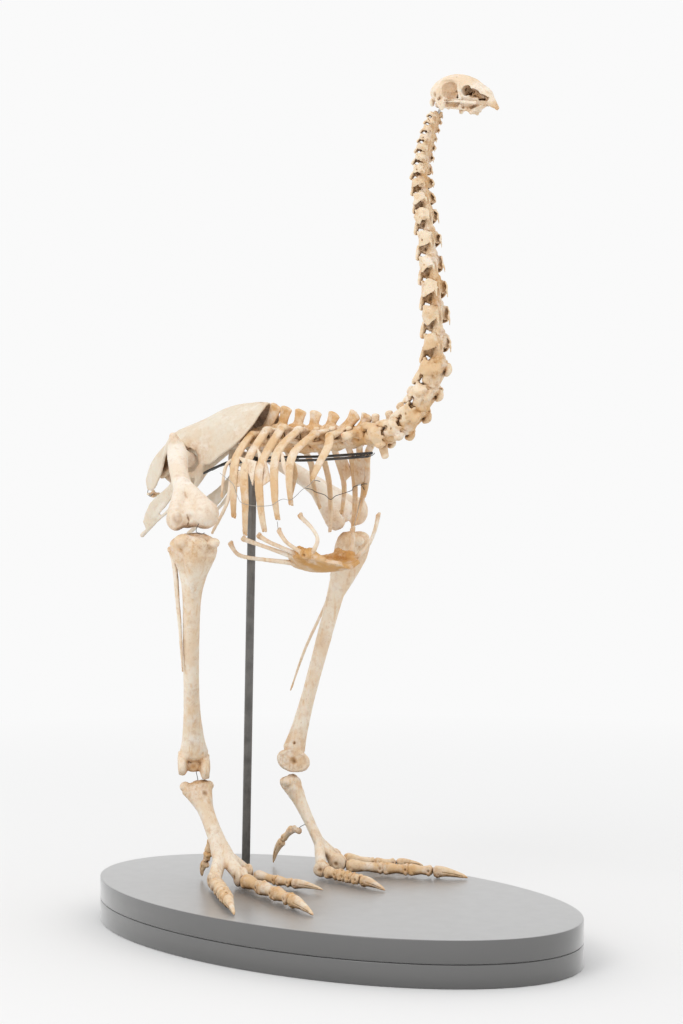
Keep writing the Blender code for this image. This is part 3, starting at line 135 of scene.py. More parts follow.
ILIUM_ROOF = (
    ((-0.1745, 0.000, 0.887), (-0.174, 0.020, 0.871), (-0.176, 0.035, 0.854)),
    ((-0.200, 0.000, 0.888), (-0.196, 0.030, 0.863), (-0.193, 0.050, 0.825)),
    ((-0.240, 0.000, 0.885), (-0.238, 0.038, 0.852), (-0.236, 0.058, 0.796)),
    ((-0.275, 0.000, 0.878), (-0.272, 0.044, 0.845), (-0.268, 0.063, 0.781)),
    ((-0.310, 0.000, 0.865), (-0.308, 0.050, 0.841), (-0.306, 0.074, 0.815)),
    ((-0.356, 0.000, 0.848), (-0.349, 0.054, 0.834), (-0.344, 0.080, 0.800)),
    ((-0.397, 0.000, 0.827), (-0.383, 0.046, 0.810), (-0.376, 0.060, 0.768)),
    ((-0.431, 0.000, 0.798), (-0.424, 0.036, 0.782), (-0.402, 0.052, 0.738)),
    ((-0.452, 0.000, 0.769), (-0.450, 0.022, 0.755), (-0.434, 0.036, 0.735)),
)
SYNSACRUM = ((-0.2195, 0.821), (-0.300, 0.816), (-0.375, 0.798), (-0.436, 0.760))
WEB_FRONT = -0.216
HIP_SOCKET = (-0.300, 0.068, 0.790)
SOCKET_HOLE = 0.020
SOCKET_RIM = 0.0065
SOCKET_STEPS = 24
SOCKET_HEEL = ((-0.030, 0.012, 0.020), (0.014, 0.009, 0.012))
PUBIC_PEG_SIZE = ((0.0088, 0.0078, 0.0042), (0.0062, 0.0056, 0.0038))
HIP_STRUTS = (
    (-0.225, 0.045, 0.826), (-0.260, 0.056, 0.815), (-0.330, 0.056, 0.826), (-0.365, 0.056, 0.815),
)
PUBIC_PEG = ((-0.277, 0.066, 0.776), (-0.280, 0.065, 0.760), (-0.290, 0.062, 0.744))
ISCHIUM = (
    ((-0.318, 0.068, 0.777), (-0.322, 0.068, 0.760)),
    ((-0.352, 0.066, 0.745), (-0.345, 0.066, 0.722)),
    ((-0.401, 0.063, 0.713), (-0.386, 0.063, 0.688)),
    ((-0.422, 0.060, 0.680), (-0.414, 0.060, 0.668)),
)
PUBIS = ((-0.300, 0.067, 0.768), (-0.345, 0.062, 0.711), (-0.388, 0.060, 0.682), (-0.428, 0.058, 0.655))
TAIL_BONE = (-0.457, 0.0, 0.7265)

# Breastbone stations: x, half width, then the height of the near edge, the middle and the far edge.
STERNUM_STATIONS = (
    (0.008, 0.024, 0.620, 0.613, 0.621), (-0.014, 0.042, 0.625, 0.609, 0.623),
    (-0.045, 0.052, 0.634, 0.605, 0.625), (-0.078, 0.044, 0.628, 0.605, 0.627),
    (-0.108, 0.022, 0.620, 0.610, 0.624),
)
STERNAL_RODS = (
    ((-0.088, -0.030, 0.617), (-0.145, -0.058, 0.623), (-0.182, -0.068, 0.629), (-0.199, -0.070, 0.647)),
    ((-0.076, -0.042, 0.627), (-0.127, -0.068, 0.646), (-0.170, -0.070, 0.6565)),
    ((-0.062, -0.046, 0.631), (-0.104, -0.070, 0.651), (-0.132, -0.072, 0.6625)),
    ((-0.050, -0.054, 0.636), (-0.072, -0.068, 0.653), (-0.088, -0.070, 0.672)),
    ((-0.032, -0.052, 0.632), (-0.018, -0.052, 0.658), (-0.032, -0.050, 0.677), (-0.061, -0.048, 0.697)),
    ((-0.018, 0.044, 0.624), (0.004, 0.052, 0.648), (0.018, 0.052, 0.673), (0.025, 0.052, 0.697)),
    ((-0.036, 0.050, 0.628), (-0.031, 0.054, 0.655), (-0.033, 0.054, 0.672)),
)

# Legs. y is the distance out from the middle plane; each leg has its own stance.
LEGS = {
    "right": dict(
        side=-1, head=(-0.300, 0.068, 0.790), trochanter=(-0.291, 0.116, 0.833),
        knee=(-0.175, 0.193, 0.692), thigh_turn=-45.0, thigh_lift=0.0,
        knuckles=(
            ((-0.004, 0.0225, 0.002), (0.030, 0.017, 0.021)),
            ((-0.004, -0.025, 0.009), (0.029, 0.024, 0.025)),
        ),
        tibia_top=(-0.170, 0.188, 0.653), ankle=(-0.273, 0.085, 0.268), knee_turn=-45.0,
        shin_bow=(-0.0038, 0.003, 0.0),
        wheels=(
            ((0.004, 0.019, 0.004), (0.030, 0.0098, 0.0195)),
            ((0.004, -0.019, -0.003), (0.0305, 0.0098, 0.0212)),
        ),
        tarsus_top=(-0.266, 0.086, 0.232), tarsus_foot=(-0.176, 0.104, 0.104), foot_turn=-30.0,
        fibula=((-0.213, 0.198, 0.642), (-0.212, 0.190, 0.608), (-0.2175, 0.179, 0.555),
                (-0.222, 0.169, 0.510), (-0.235, 0.150, 0.434)),
        knee_crack=((-0.1613, 0.2129, 0.7005), (-0.1589, 0.2108, 0.6906), (-0.1628, 0.2115, 0.6791)),
        knee_hollows=(((-0.172, 0.224, 0.693), 0.017), ((-0.1329, 0.1882, 0.679), 0.014)),
        shin_holes=(((-0.2576, 0.0928, 0.3041), 0.0034), ((-0.2498, 0.0887, 0.2889), 0.0056),
                    ((-0.1619, 0.2102, 0.638), 0.0042), ((-0.1596, 0.2055, 0.633), 0.0034),
                    ((-0.1356, 0.1925, 0.6644), 0.004), ((-0.1294, 0.1872, 0.6595), 0.0034)),
        foot_holes=(((-0.2444, 0.0956, 0.2113), 0.0046), ((-0.240, 0.099, 0.205), 0.0028)),
        trochleae=((-0.170, 0.064, 0.091), (-0.142, 0.106, 0.0915), (-0.164, 0.147, 0.089)),
        hallux=((-0.230, 0.090, 0.140), (-0.235, 0.090, 0.120), (-0.2385, 0.090, 0.106),
                (-0.249, 0.090, 0.0765)),
    ),
    "left": dict(
        side=1, head=(-0.300, 0.068, 0.790), trochanter=(-0.291, 0.116, 0.833),
        knee=(-0.167, 0.188, 0.690), thigh_turn=6.0, thigh_lift=0.010,
        knuckles=(
            ((0.006, 0.029, 0.008), (0.0225, 0.016, 0.026)),
            ((0.000, -0.029, -0.009), (0.019, 0.016, 0.017)),
        ),
        tibia_top=(-0.153, 0.186, 0.646), ankle=(-0.206, 0.090, 0.263), knee_turn=42.0,
        shin_bow=(0.0, 0.0, 0.0),
        wheels=(
            ((0.004, 0.0175, 0.000), (0.0305, 0.0095, 0.0205)),
            ((0.004, -0.0175, 0.000), (0.0305, 0.0095, 0.0205)),
        ),
        tarsus_top=(-0.206, 0.086, 0.229), tarsus_foot=(-0.127, 0.090, 0.104), foot_turn=30.0,
        fibula=((-0.195, 0.190, 0.584), (-0.199, 0.185, 0.557), (-0.204, 0.180, 0.533),
                (-0.238, 0.162, 0.451), (-0.262, 0.150, 0.376)),
        knee_crack=((-0.150, 0.164, 0.699), (-0.149, 0.163, 0.690)),
        knee_hollows=(((-0.156, 0.160, 0.686), 0.009),),
        shin_holes=(((-0.190, 0.080, 0.295), 0.0046), ((-0.135, 0.170, 0.650), 0.006)),
        foot_holes=(((-0.190, 0.076, 0.208), 0.004),),
        trochleae=((-0.098, 0.048, 0.0895), (-0.104, 0.096, 0.0925), (-0.142, 0.130, 0.095)),
        hallux=((-0.186, 0.088, 0.140), (-0.200, 0.087, 0.143), (-0.2225, 0.086, 0.122),
                (-0.2455, 0.086, 0.0768)),
    ),
}
# Toes: number, start and tip on the plinth (x, y, height above it), parts of the length,
# and the first bone's radius.
TOES = {
    "right": (
        (2, (-0.148, 0.060, 0.014), (0.000, 0.058, 0.007), (0.32, 0.21, 0.47), 0.0104),
        (3, (-0.122, 0.114, 0.015), (0.108, 0.204, 0.002), (0.26, 0.21, 0.20, 0.33), 0.0138),
        (4, (-0.146, 0.160, 0.013), (0.011, 0.283, 0.002), (0.22, 0.16, 0.13, 0.12, 0.37), 0.013),
    ),
    "left": (
        (2, (-0.080, 0.044, 0.013), (0.062, 0.027, 0.002), (0.22, 0.13, 0.12, 0.11, 0.42), 0.0118),
        (3, (-0.086, 0.106, 0.015), (0.099, 0.204, 0.002), (0.30, 0.21, 0.19, 0.30), 0.0126),
        (4, (-0.124, 0.142, 0.019), (-0.024, 0.234, 0.005), (0.38, 0.26, 0.36), 0.0104),
    ),
}
TOE_TAPER = 0.12
TOE_GAP = 0.0003
CLAW_STATIONS = (0.0, 0.30, 0.60, 0.85)
CLAW_DEPTHS = (0.96, 0.82, 0.55, 0.33)
CLAW_WIDTHS = (0.78, 0.68, 0.46, 0.28)
CLAW_TIP = 0.11
CLAW_ARCH = (0.0, 0.12, 0.16, 0.06)
SHIN_STATIONS = (0.0, 0.05, 0.14, 0.25, 0.45, 0.70, 0.86, 0.95)
SHIN_BOW_STATIONS = (0.0, 0.0, 0.3, 0.7, 1.0, 0.8, 0.3, 0.0)
FOOT_STATIONS = (0.04, 0.14, 0.32, 0.60, 0.85, 0.97)
ROLLER_RADII = (0.0137, 0.0162, 0.0137)
RIM_STEPS = 24

SKULL_PROFILE = (
    (0.1925, 1.373, 1.362, 0.012), (0.1965, 1.386, 1.356, 0.0215), (0.204, 1.3945, 1.3535, 0.027),
    (0.214, 1.400, 1.3525, 0.0295), (0.225, 1.4032, 1.3525, 0.030), (0.2365, 1.4034, 1.353, 0.027),
    (0.249, 1.400, 1.354, 0.024), (0.264, 1.393, 1.347, 0.0205), (0.279, 1.384, 1.348, 0.0165),
    (0.2895, 1.3762, 1.349, 0.013), (0.299, 1.3635, 1.347, 0.0095), (0.307, 1.3535, 1.343, 0.0065),
    (0.3135, 1.345, 1.3405, 0.003),
)
NASAL_SLOPE = 22.0
SKULL_MIDDLE_LUMPS = (
    ((0.1935, 0.0, 1.359), (0.005, 0.0055, 0.0045)), ((0.2375, 0.0, 1.353), (0.012, 0.009, 0.006)),
)
SKULL_SIDE_LUMPS = (
    ((0.2225, 0.0245, 1.356), (0.006, 0.0045, 0.0085)), ((0.217, 0.029, 1.374), (0.005, 0.0035, 0.010)),
    ((0.1985, 0.021, 1.360), (0.0035, 0.005, 0.007)),
)
# Limbs of the skull: the path, its half widths, its half depths and, for pairs, which way depth runs.
SKULL_PALATE = (
    ((0.246, 0, 1.356), (0.256, 0, 1.349), (0.2655, 0, 1.3425), (0.274, 0, 1.345), (0.286, 0, 1.349)),
    (0.010, 0.0105, 0.0095, 0.009, 0.007), (0.0042, 0.0046, 0.005, 0.0036, 0.003),
)
SKULL_BEAK_TIP = (
    ((0.302, 0, 1.348), (0.3095, 0, 1.344), (0.3128, 0, 1.3405)),
    (0.0062, 0.004, 0.0016), (0.003, 0.0028, 0.0016),
)
SKULL_STRUTS = (
    (((0.219, 0.0265, 1.3605), (0.248, 0.028, 1.3568), (0.283, 0.0175, 1.352)),
     (0.0018, 0.0016, 0.002), (0.0024, 0.0019, 0.0026), (0, 0, 1)),
    (((0.225, 0.020, 1.350), (0.245, 0.013, 1.347), (0.262, 0.008, 1.343)),
     (0.0028, 0.0022, 0.0035), (0.0026, 0.002, 0.0022), (0, 0, 1)),
    (((0.253, 0.0225, 1.385), (0.2545, 0.023, 1.372), (0.2555, 0.021, 1.359)),
     (0.0026, 0.002, 0.0026), (0.003, 0.0022, 0.003), (1, 0, 0)),
    (((0.216, 0.024, 1.386), (0.230, 0.0255, 1.3925), (0.245, 0.0225, 1.3905), (0.255, 0.019, 1.3855)),
     (0.003, 0.003, 0.0028, 0.0024), (0.0022, 0.0022, 0.002, 0.0018), (0, 0, 1)),
    (((0.210, 0.024, 1.364), (0.2165, 0.0275, 1.356), (0.2215, 0.025, 1.3475)),
     (0.0026, 0.003, 0.0036), (0.003, 0.003, 0.0036), (1, 0, 0)),
)
# Lumps along the palate's edge: x, distance out, height and size.
PALATE_LUMPS = (
    (0.2668, 0.008, 1.3395, 0.0034), (0.258, 0.009, 1.346, 0.0038),
    (0.273, 0.007, 1.3425, 0.003), (0.248, 0.011, 1.350, 0.0044),
)
# Hollows cut into each side: the centre, the radii and whether they lie along the beak's slope.
SKULL_HOLES = (
    ((0.2385, 0.0345, 1.3778), (0.0152, 0.0215, 0.0125), False),
    ((0.2385, 0.033, 1.370), (0.0148, 0.0215, 0.0115), False),
    ((0.2655, 0.020, 1.3725), (0.0078, 0.0155, 0.0088), True),
    ((0.278, 0.019, 1.3672), (0.0125, 0.014, 0.0076), True),
    ((0.292, 0.015, 1.360), (0.013, 0.012, 0.005), True),
    ((0.265, 0.006, 1.3665), (0.005, 0.009, 0.0046), False),
    ((0.287, 0.004, 1.3575), (0.006, 0.009, 0.0022), False),
    ((0.2405, 0.0275, 1.3595), (0.0135, 0.006, 0.0022), False),
    ((0.2475, 0.012, 1.3665), (0.005, 0.012, 0.0048), False),
    ((0.257, 0.019, 1.3525), (0.004, 0.008, 0.0024), False),
    ((0.235, 0.017, 1.352), (0.008, 0.006, 0.003), False),
)
# Small pits of each side: the centre, the radius and the depth.
SKULL_PITS = (
    ((0.2425, 0.015, 1.3725), 0.0042, 0.004), ((0.2085, 0.030, 1.370), 0.0075, 0.0016),
    ((0.230, 0.017, 1.400), 0.0018, 0.0014), ((0.236, 0.015, 1.396), 0.002, 0.0014),
    ((0.244, 0.016, 1.3965), 0.0016, 0.0014), ((0.264, 0.009, 1.3635), 0.005, 0.004),
    ((0.256, 0.016, 1.350), 0.002, 0.002), ((0.248, 0.020, 1.352), 0.0024, 0.0024),
    ((0.276, 0.009, 1.369), 0.003, 0.003), ((0.288, 0.007, 1.364), 0.0026, 0.0026),
    ((0.279, 0.008, 1.361), 0.0022, 0.0026), ((0.204, 0.025, 1.364), 0.003, 0.002),
)
# How many more each side has round the opening before the eye.
SPONGE_PITS = 16
# Worn places of the skull: the centre and the radius.
SKULL_WORN = (
    ((0.2765, 0.0, 1.3655), 0.020), ((0.262, 0.0, 1.344), 0.015), ((0.311, 0.0, 1.343), 0.010),
    ((0.223, 0.0, 1.353), 0.026),
)

POST_RADIUS = 0.0072
POST_FOOT = (-0.2313, 0.0, STANDING_LEVEL)
POST_TOP = (-0.2131, 0.0, 0.788)
BAR_SPREAD = 0.010
BAR_DROP = 0.006
BAR_LINE = ((-0.321, 0.772), (-0.263, 0.789), (-0.16, 0.794), (-0.06, 0.796), (0.047, 0.802))
NECK_ROD = ((0.2015, 0.0, 1.3585), (0.1895, 0.0, 1.3375))
# Fine wires that tie loose bones, by name: bright or dark, and the path.
TIE_WIRES = {
    "near_ribs": ("bright", (
        (-0.1971, -0.098, 0.768), (-0.1779, -0.103, 0.7597), (-0.1598, -0.1055, 0.7499),
        (-0.1506, -0.1062, 0.7333), (-0.1414, -0.1065, 0.7201), (-0.1221, -0.1065, 0.7154),
        (-0.1039, -0.1065, 0.714), (-0.0859, -0.1065, 0.7144), (-0.0701, -0.1062, 0.7163),
        (-0.0567, -0.1058, 0.7231), (-0.0465, -0.105, 0.7265), (-0.0341, -0.102, 0.725),
        (-0.0239, -0.099, 0.7317), (-0.0138, -0.095, 0.7417), (-0.0024, -0.090, 0.7499),
        (0.006, -0.086, 0.759),
    )),
    "far_ribs": ("dark", (
        (-0.1697, 0.086, 0.7404), (-0.1581, 0.090, 0.738), (-0.1465, 0.088, 0.7338),
        (-0.1303, 0.093, 0.7288), (-0.1142, 0.090, 0.7213), (-0.105, 0.093, 0.7275),
        (-0.0891, 0.090, 0.7311), (-0.0777, 0.093, 0.7347), (-0.0664, 0.092, 0.7383),
        (-0.0642, 0.093, 0.7434), (-0.0484, 0.093, 0.747), (-0.0372, 0.090, 0.7386),
    )),
    "far_ribs_end": ("dark", (
        (-0.0484, 0.093, 0.747), (-0.040, 0.092, 0.749), (-0.0305, 0.089, 0.7489),
    )),
    "far_ribs_top": ("dark", (
        (-0.1557, 0.091, 0.7527), (-0.148, 0.092, 0.7535), (-0.140, 0.092, 0.752),
    )),
    "knee_hook": ("dark", (
        (-0.1495, -0.197, 0.686), (-0.1478, -0.205, 0.678), (-0.1449, -0.207, 0.6725),
        (-0.139, -0.204, 0.6694), (-0.136, -0.198, 0.6712),
    )),
    "ankle_pin": ("dark", (
        (-0.2679, -0.085, 0.256), (-0.265, -0.085, 0.247), (-0.2625, -0.085, 0.238),
    )),
    "tail_loop": ("dark", (
        (-0.450, -0.006, 0.743), (-0.458, -0.0105, 0.737), (-0.460, -0.0115, 0.729),
        (-0.4545, -0.011, 0.7235), (-0.449, -0.0095, 0.728),
    )),
    "hind_toe_left": ("dark", (
        (-0.186, 0.088, 0.145), (-0.178, 0.0875, 0.150), (-0.164, 0.087, 0.156),
    )),
    "hind_toe_right": ("dark", (
        (-0.228, -0.090, 0.140), (-0.218, -0.0905, 0.142), (-0.206, -0.091, 0.144),
    )),
}
# Wire wound round the bars: where along them, how far it runs and how many turns.
BINDINGS = (("rear", -0.262, 0.014, 5), ("middle", -0.128, 0.012, 4), ("front", 0.020, 0.030, 7))
HANGERS = {
    "right": ((-0.0735, -0.090, 0.6885), (-0.087, -0.0735, 0.676)),
    "left": ((-0.042, 0.085, 0.722), (-0.034, 0.058, 0.676)),
}

# ---- camera
CAMERA_TURN = math.radians(41.0)
CAMERA_DOWN = 0.0288
CAMERA_DISTANCE = 3.830
CAMERA_SIDE = 0.018
CAMERA_HEIGHT = 0.815
FOCAL_PIXELS = 2323.0
FRAME_HEIGHT_PIXELS = 1024.0
SENSOR_HEIGHT_MM = 36.0


# ---- settings
class MoaSizes(bpy.types.PropertyGroup):
    """Sizes that change how finely and how worn the skeleton is made."""

    grain: FloatProperty(
        name="Bone grain", description="Edge of the smallest step in a bone's surface",
        default=0.0014, min=0.0006, max=0.004, unit="LENGTH",
    )
    wear: FloatProperty(
        name="Wear", description="How far weathering moves a bone's surface",
        default=0.00050, min=0.0, max=0.002, unit="LENGTH",
    )
    plinth_sides: IntProperty(
        name="Plinth sides", description="Steps round the oval plinth", default=192, min=32,
    )
    plinth_edge: FloatProperty(
        name="Plinth edge", description="Rounding of the plinth boards' edges", default=0.001,
        unit="LENGTH",
    )
    bar_radius: FloatProperty(
        name="Bar radius", description="Radius of the bars", default=0.0023, unit="LENGTH",
    )
    rod_radius: FloatProperty(
        name="Neck rod", description="Radius of the neck rod", default=0.0021, unit="LENGTH",
    )
    wire_radius: FloatProperty(
        name="Wire radius", description="Radius of the fine tie wire", default=0.0005, unit="LENGTH",
    )


def colour(label, what, value):
    """A colour setting with its default."""
    return FloatVectorProperty(
        name=label, description=what, default=value, size=3, min=0.0, max=1.0, subtype="COLOR",
    )


class MoaFinish(bpy.types.PropertyGroup):
    """Colours of the bones, the plinth and the metal."""

    ivory: colour("Ivory", "Clean, dry bone", (0.895, 0.765, 0.585))
    chalk: colour("Chalk", "Palest, rubbed bone and filler", (0.900, 0.850, 0.780))
    hip: colour("Hip", "Greyish cream of the thin hip bones", (0.765, 0.690, 0.570))
    tan: colour("Tan", "Stained bone", (0.700, 0.420, 0.180))
    ochre: colour("Ochre", "Strong stain of the breastbone", (0.680, 0.370, 0.120))
    # Rust also gives the lighter step of the painted shade in hollows.
    rust: colour("Rust", "Orange-brown stains and freckles", (0.470, 0.215, 0.055))
    hollow: colour("Hollow", "Dirt and shade in hollows and pits", (0.105, 0.048, 0.014))
    paint: colour("Paint", "Plinth paint", (0.032, 0.031, 0.029))
    post: colour("Post", "Post paint", (0.165, 0.160, 0.152))
    steel: colour("Steel", "Bars and dark wire", (0.120, 0.120, 0.120))
    tin: colour("Tinned wire", "Bright wire", (0.520, 0.510, 0.490))
    floor: colour("Floor", "Studio floor", (0.850, 0.850, 0.850))


# ---- shape tools
def angles(count):
    """The angles of this many even steps round a circle."""
    return [2 * math.pi * k / count for k in range(count)]


def smooth_run(rows, per_span):
    """Rows of numbers, passed through by a smooth curve with this many steps a span."""
    rows = [tuple(row) for row in rows]
    last = len(rows) - 1
    made = []
    for i in range(last):
        a, b, c, d = rows[max(i - 1, 0)], rows[i], rows[i + 1], rows[min(i + 2, last)]
        for step in range(per_span):
            t = step / per_span
            made.append(tuple(
                0.5 * (2 * q + (r - p) * t + (2 * p - 5 * q + 4 * r - s) * t * t
                       + (3 * q - p - 3 * r + s) * t ** 3)
                for p, q, r, s in zip(a, b, c, d)
            ))
    made.append(rows[-1])
    return made


def join_rings(bm, rings):
    """Faces between each ring of points and the next."""
    for lower, upper in zip(rings, rings[1:]):
        for k in range(len(lower)):
            n = (k + 1) % len(lower)
            bm.faces.new((lower[k], lower[n], upper[n], upper[k]))


# The rounded end of a limb: a collar and a pole, as shares of the limb's size there.
COLLAR_SHARE = 0.72
COLLAR_RISE = 0.50
POLE_RISE = 0.78


def add_limb(bm, points, widths, depths, up=(0, 0, 1), sides=16, per_span=4):
    """A closed tube along points. widths are half sizes across, depths half sizes along up."""
    rows = smooth_run([(*p, w, d) for p, w, d in zip(points, widths, depths)], per_span)
    centres = [Vector(row[:3]) for row in rows]
    rings = []
    for i, row in enumerate(rows):
        ahead = centres[min(i + 1, len(rows) - 1)] - centres[max(i - 1, 0)]
        across = Vector(up).cross(ahead).normalized()
        rise = ahead.cross(across).normalized()
        ring = []
        for turn in angles(sides):
            spot = centres[i] + across * math.cos(turn) * row[3] + rise * math.sin(turn) * row[4]
            ring.append(bm.verts.new(spot))
        rings.append(ring)
    join_rings(bm, rings)
    for end, nearby, flip in ((0, 1, True), (-1, -2, False)):
        ring, row = rings[end], rows[end]
        centre = Vector(row[:3])
        out = (centre - centres[nearby]).normalized() * min(row[3], row[4])
        collar = []
        for vert in ring:
            collar.append(bm.verts.new(centre + (vert.co - centre) * COLLAR_SHARE + out * COLLAR_RISE))
        pole = bm.verts.new(centre + out * POLE_RISE)
        for k in range(sides):
            n = (k + 1) % sides
            quad = (ring[k], ring[n], collar[n], collar[k])
            cap = (collar[k], collar[n], pole)
            bm.faces.new(tuple(reversed(quad)) if flip else quad)
            bm.faces.new(tuple(reversed(cap)) if flip else cap)


def add_knob(bm, centre, radii, turn=None):
    """An ellipsoid; turn is a rotation matrix for its axes."""
    place = Matrix.Translation(Vector(centre)) @ (turn.to_4x4() if turn else Matrix.Identity(4))
    place = place @ Matrix.Diagonal((*radii, 1.0))
    bmesh.ops.create_icosphere(bm, subdivisions=3, radius=1.0, matrix=place)


def add_sheet(bm, rows, thickness, per_span=4):
    """A plate of this thickness through a grid of points, given as rows of equal length."""
    across = [smooth_run(row, per_span) for row in rows]
    grid = list(zip(*[smooth_run(line, per_span) for line in zip(*across)]))
    grid = [[Vector(spot) for spot in line] for line in grid]
    count, width = len(grid), len(grid[0])
    above, below = [], []
    for i in range(count):
        up_line, down_line = [], []
        for k in range(width):
            along = grid[min(i + 1, count - 1)][k] - grid[max(i - 1, 0)][k]
            over = grid[i][min(k + 1, width - 1)] - grid[i][max(k - 1, 0)]
            normal = along.cross(over).normalized() * thickness / 2
            up_line.append(bm.verts.new(grid[i][k] + normal))
            down_line.append(bm.verts.new(grid[i][k] - normal))
        above.append(up_line)
        below.append(down_line)
    for i in range(count - 1):
        for k in range(width - 1):
            bm.faces.new((above[i][k], above[i + 1][k], above[i + 1][k + 1], above[i][k + 1]))
            bm.faces.new((below[i][k + 1], below[i + 1][k + 1], below[i + 1][k], below[i][k]))
    for k in range(width - 1):
        for i, turned in ((0, False), (count - 1, True)):
            quad = (above[i][k], above[i][k + 1], below[i][k + 1], below[i][k])
            bm.faces.new(tuple(reversed(quad)) if turned else quad)
    for i in range(count - 1):
        for k, turned in ((0, True), (width - 1, False)):
            quad = (above[i][k], above[i + 1][k], below[i + 1][k], below[i][k])
            bm.faces.new(tuple(reversed(quad)) if turned else quad)


def heading(degrees):
    """A level unit vector, this many degrees to the left of the bird's heading."""
    turn = math.radians(degrees)
    return Vector((math.cos(turn), math.sin(turn), 0.0))


def sided(point, side):
    """A point given by its distance out from the middle plane, on one side."""
    return Vector((point[0], point[1] * side, point[2]))


class Line:
    """A smooth line in the middle plane that can be walked by length."""

    def __init__(self, corners):
        self.spots = [Vector((x, 0.0, z)) for x, z in smooth_run(corners, 12)]
        self.reach = [0.0]
        for a, b in zip(self.spots, self.spots[1:]):
            self.reach.append(self.reach[-1] + (b - a).length)

    def at(self, length):
        """The point this far along."""
        length = min(max(length, 0.0), self.reach[-1])
        i = max(1, next(k for k, far in enumerate(self.reach) if far >= length))
        a, b = self.spots[i - 1], self.spots[i]
        share = (length - self.reach[i - 1]) / (self.reach[i] - self.reach[i - 1])
        return a.lerp(b, share)


# ---- surface tools
# What mixes a cell's corner into a random value.
HASH_X, HASH_Y, HASH_Z, HASH_LAST = 73856093, 19349663, 83492791, 1274126177
SEED_STEP = 13.7
CRACK_DEPTH = 0.0007
# The depth of a pit, and of a hollow or ridge, that is marked in full.
FULL_PIT_DEPTH = 0.0015
FULL_RELIEF = 0.0016
EASING_ROUNDS = 14


def value_noise(spots, scale, seed):
    """Smooth noise between -1 and 1 at each point, with cells of 1 / scale metres."""
    scaled = spots * scale + seed * SEED_STEP
    cell = np.floor(scaled).astype(np.int64)
    part = scaled - cell
    part = part * part * (3 - 2 * part)
    total = np.zeros(len(spots))
    for dx in (0, 1):
        for dy in (0, 1):
            for dz in (0, 1):
                x, y, z = cell[:, 0] + dx, cell[:, 1] + dy, cell[:, 2] + dz
                mixed = (x * HASH_X) ^ (y * HASH_Y) ^ (z * HASH_Z)
                mixed = (mixed ^ (mixed >> 13)) * HASH_LAST
                value = ((mixed ^ (mixed >> 16)) & 0xFFFF) / 32767.5 - 1.0
                share = np.abs(1 - dx - part[:, 0]) * np.abs(1 - dy - part[:, 1])
                total += value * (share * np.abs(1 - dz - part[:, 2]))
    return total


def read_mesh(mesh):
    """The mesh's points, normals and edge ends as arrays."""
    spots = np.empty(len(mesh.vertices) * 3)
    mesh.vertices.foreach_get("co", spots)
    normals = np.empty(len(mesh.vertices) * 3)
    mesh.vertex_normals.foreach_get("vector", normals)
    ends = np.empty(len(mesh.edges) * 2, dtype=np.int64)
    mesh.edges.foreach_get("vertices", ends)
    return spots.reshape(-1, 3), normals.reshape(-1, 3), ends.reshape(-1, 2)


def neighbour_mean(values, ends, degree):
    """Each point's average over the points that it shares an edge with."""
    total = np.zeros_like(values)
    for column in range(values.shape[1]):
        total[:, column] = np.bincount(ends[:, 0], values[ends[:, 1], column], len(values))
        total[:, column] += np.bincount(ends[:, 1], values[ends[:, 0], column], len(values))
    return total / degree[:, None]


def distance_to_path(spots, path):
    """Each point's distance from a run of straight stretches."""
    nearest = np.full(len(spots), np.inf)
    for a, b in zip(path, path[1:]):
        a, b = np.array(a), np.array(b)
        along = b - a
        share = np.clip(((spots - a) @ along) / (along @ along), 0.0, 1.0)
        nearest = np.minimum(nearest, np.linalg.norm(spots - a - share[:, None] * along, axis=1))
    return nearest


def age_surface(mesh, wear, seed, pits, cracks, ends, crumble):
    """Roughens a bone, presses pits and cracks into it, and marks its stained ends and its hollows,
    where the material paints shade.

    pits are (centre, radius, depth), cracks are (path, width), ends are (centre, radius) of worn
    joints, and crumble is how much deeper the wear goes there.
    """
    spots, normals, pairs = read_mesh(mesh)
    degree = np.maximum(np.bincount(pairs.ravel(), minlength=len(spots)), 1).astype(float)
    worn = np.zeros(len(spots))
    for centre, radius in ends:
        away = np.linalg.norm(spots - np.array(centre), axis=1) / radius
        worn = np.maximum(worn, np.clip(1.35 - away, 0.0, 1.0))
    # A broad swell, finer lumps and grit, deeper where a joint is worn; then what has crumbled off.
    push = 0.55 * value_noise(spots, 85.0, seed) + 0.30 * value_noise(spots, 230.0, seed + 1)
    fine = value_noise(spots, 520.0, seed + 2)
    push = (push + 0.22 * fine) * wear * (1 + crumble * worn)
    crumbs = np.clip(fine * value_noise(spots, 170.0, seed + 3) - 0.25, 0, 1)
    push -= crumbs * wear * 2.2 * (0.3 + crumble * worn)
    # Pits and cracks are marked as hollows, which the material darkens with painted shade and dirt.
    marked = np.zeros(len(spots))
    for centre, radius, depth in pits:
        near = np.clip(1 - (np.linalg.norm(spots - np.array(centre), axis=1) / radius) ** 2, 0.0, 1.0)
        push -= depth * near ** 1.5
        marked = np.maximum(marked, near * min(1.0, depth / FULL_PIT_DEPTH))
    for path, width in cracks:
        near = np.clip(1 - distance_to_path(spots, path) / width, 0.0, 1.0)
        push -= CRACK_DEPTH * near
        marked = np.maximum(marked, np.clip(near * 1.6, 0, 1))
    spots = spots + normals * push[:, None]
    # A point below its eased skin lies in a hollow, and one above it on a ridge.
    eased = spots
    for _ in range(EASING_ROUNDS):
        eased = neighbour_mean(eased, pairs, degree)
    depth = ((eased - spots) * normals).sum(axis=1)
    hollow = np.clip(depth / FULL_RELIEF, 0.0, 1.0)
    ridge = np.clip(-depth / FULL_RELIEF, 0.0, 1.0)
    mesh.vertices.foreach_set("co", spots.ravel())
    for name, values in (("hollow", np.maximum(hollow, marked)), ("ridge", ridge), ("worn", worn)):
        layer = mesh.attributes.new(name, "FLOAT", "POINT")
        layer.data.foreach_set("value", values.astype(np.float32))
    mesh.update()


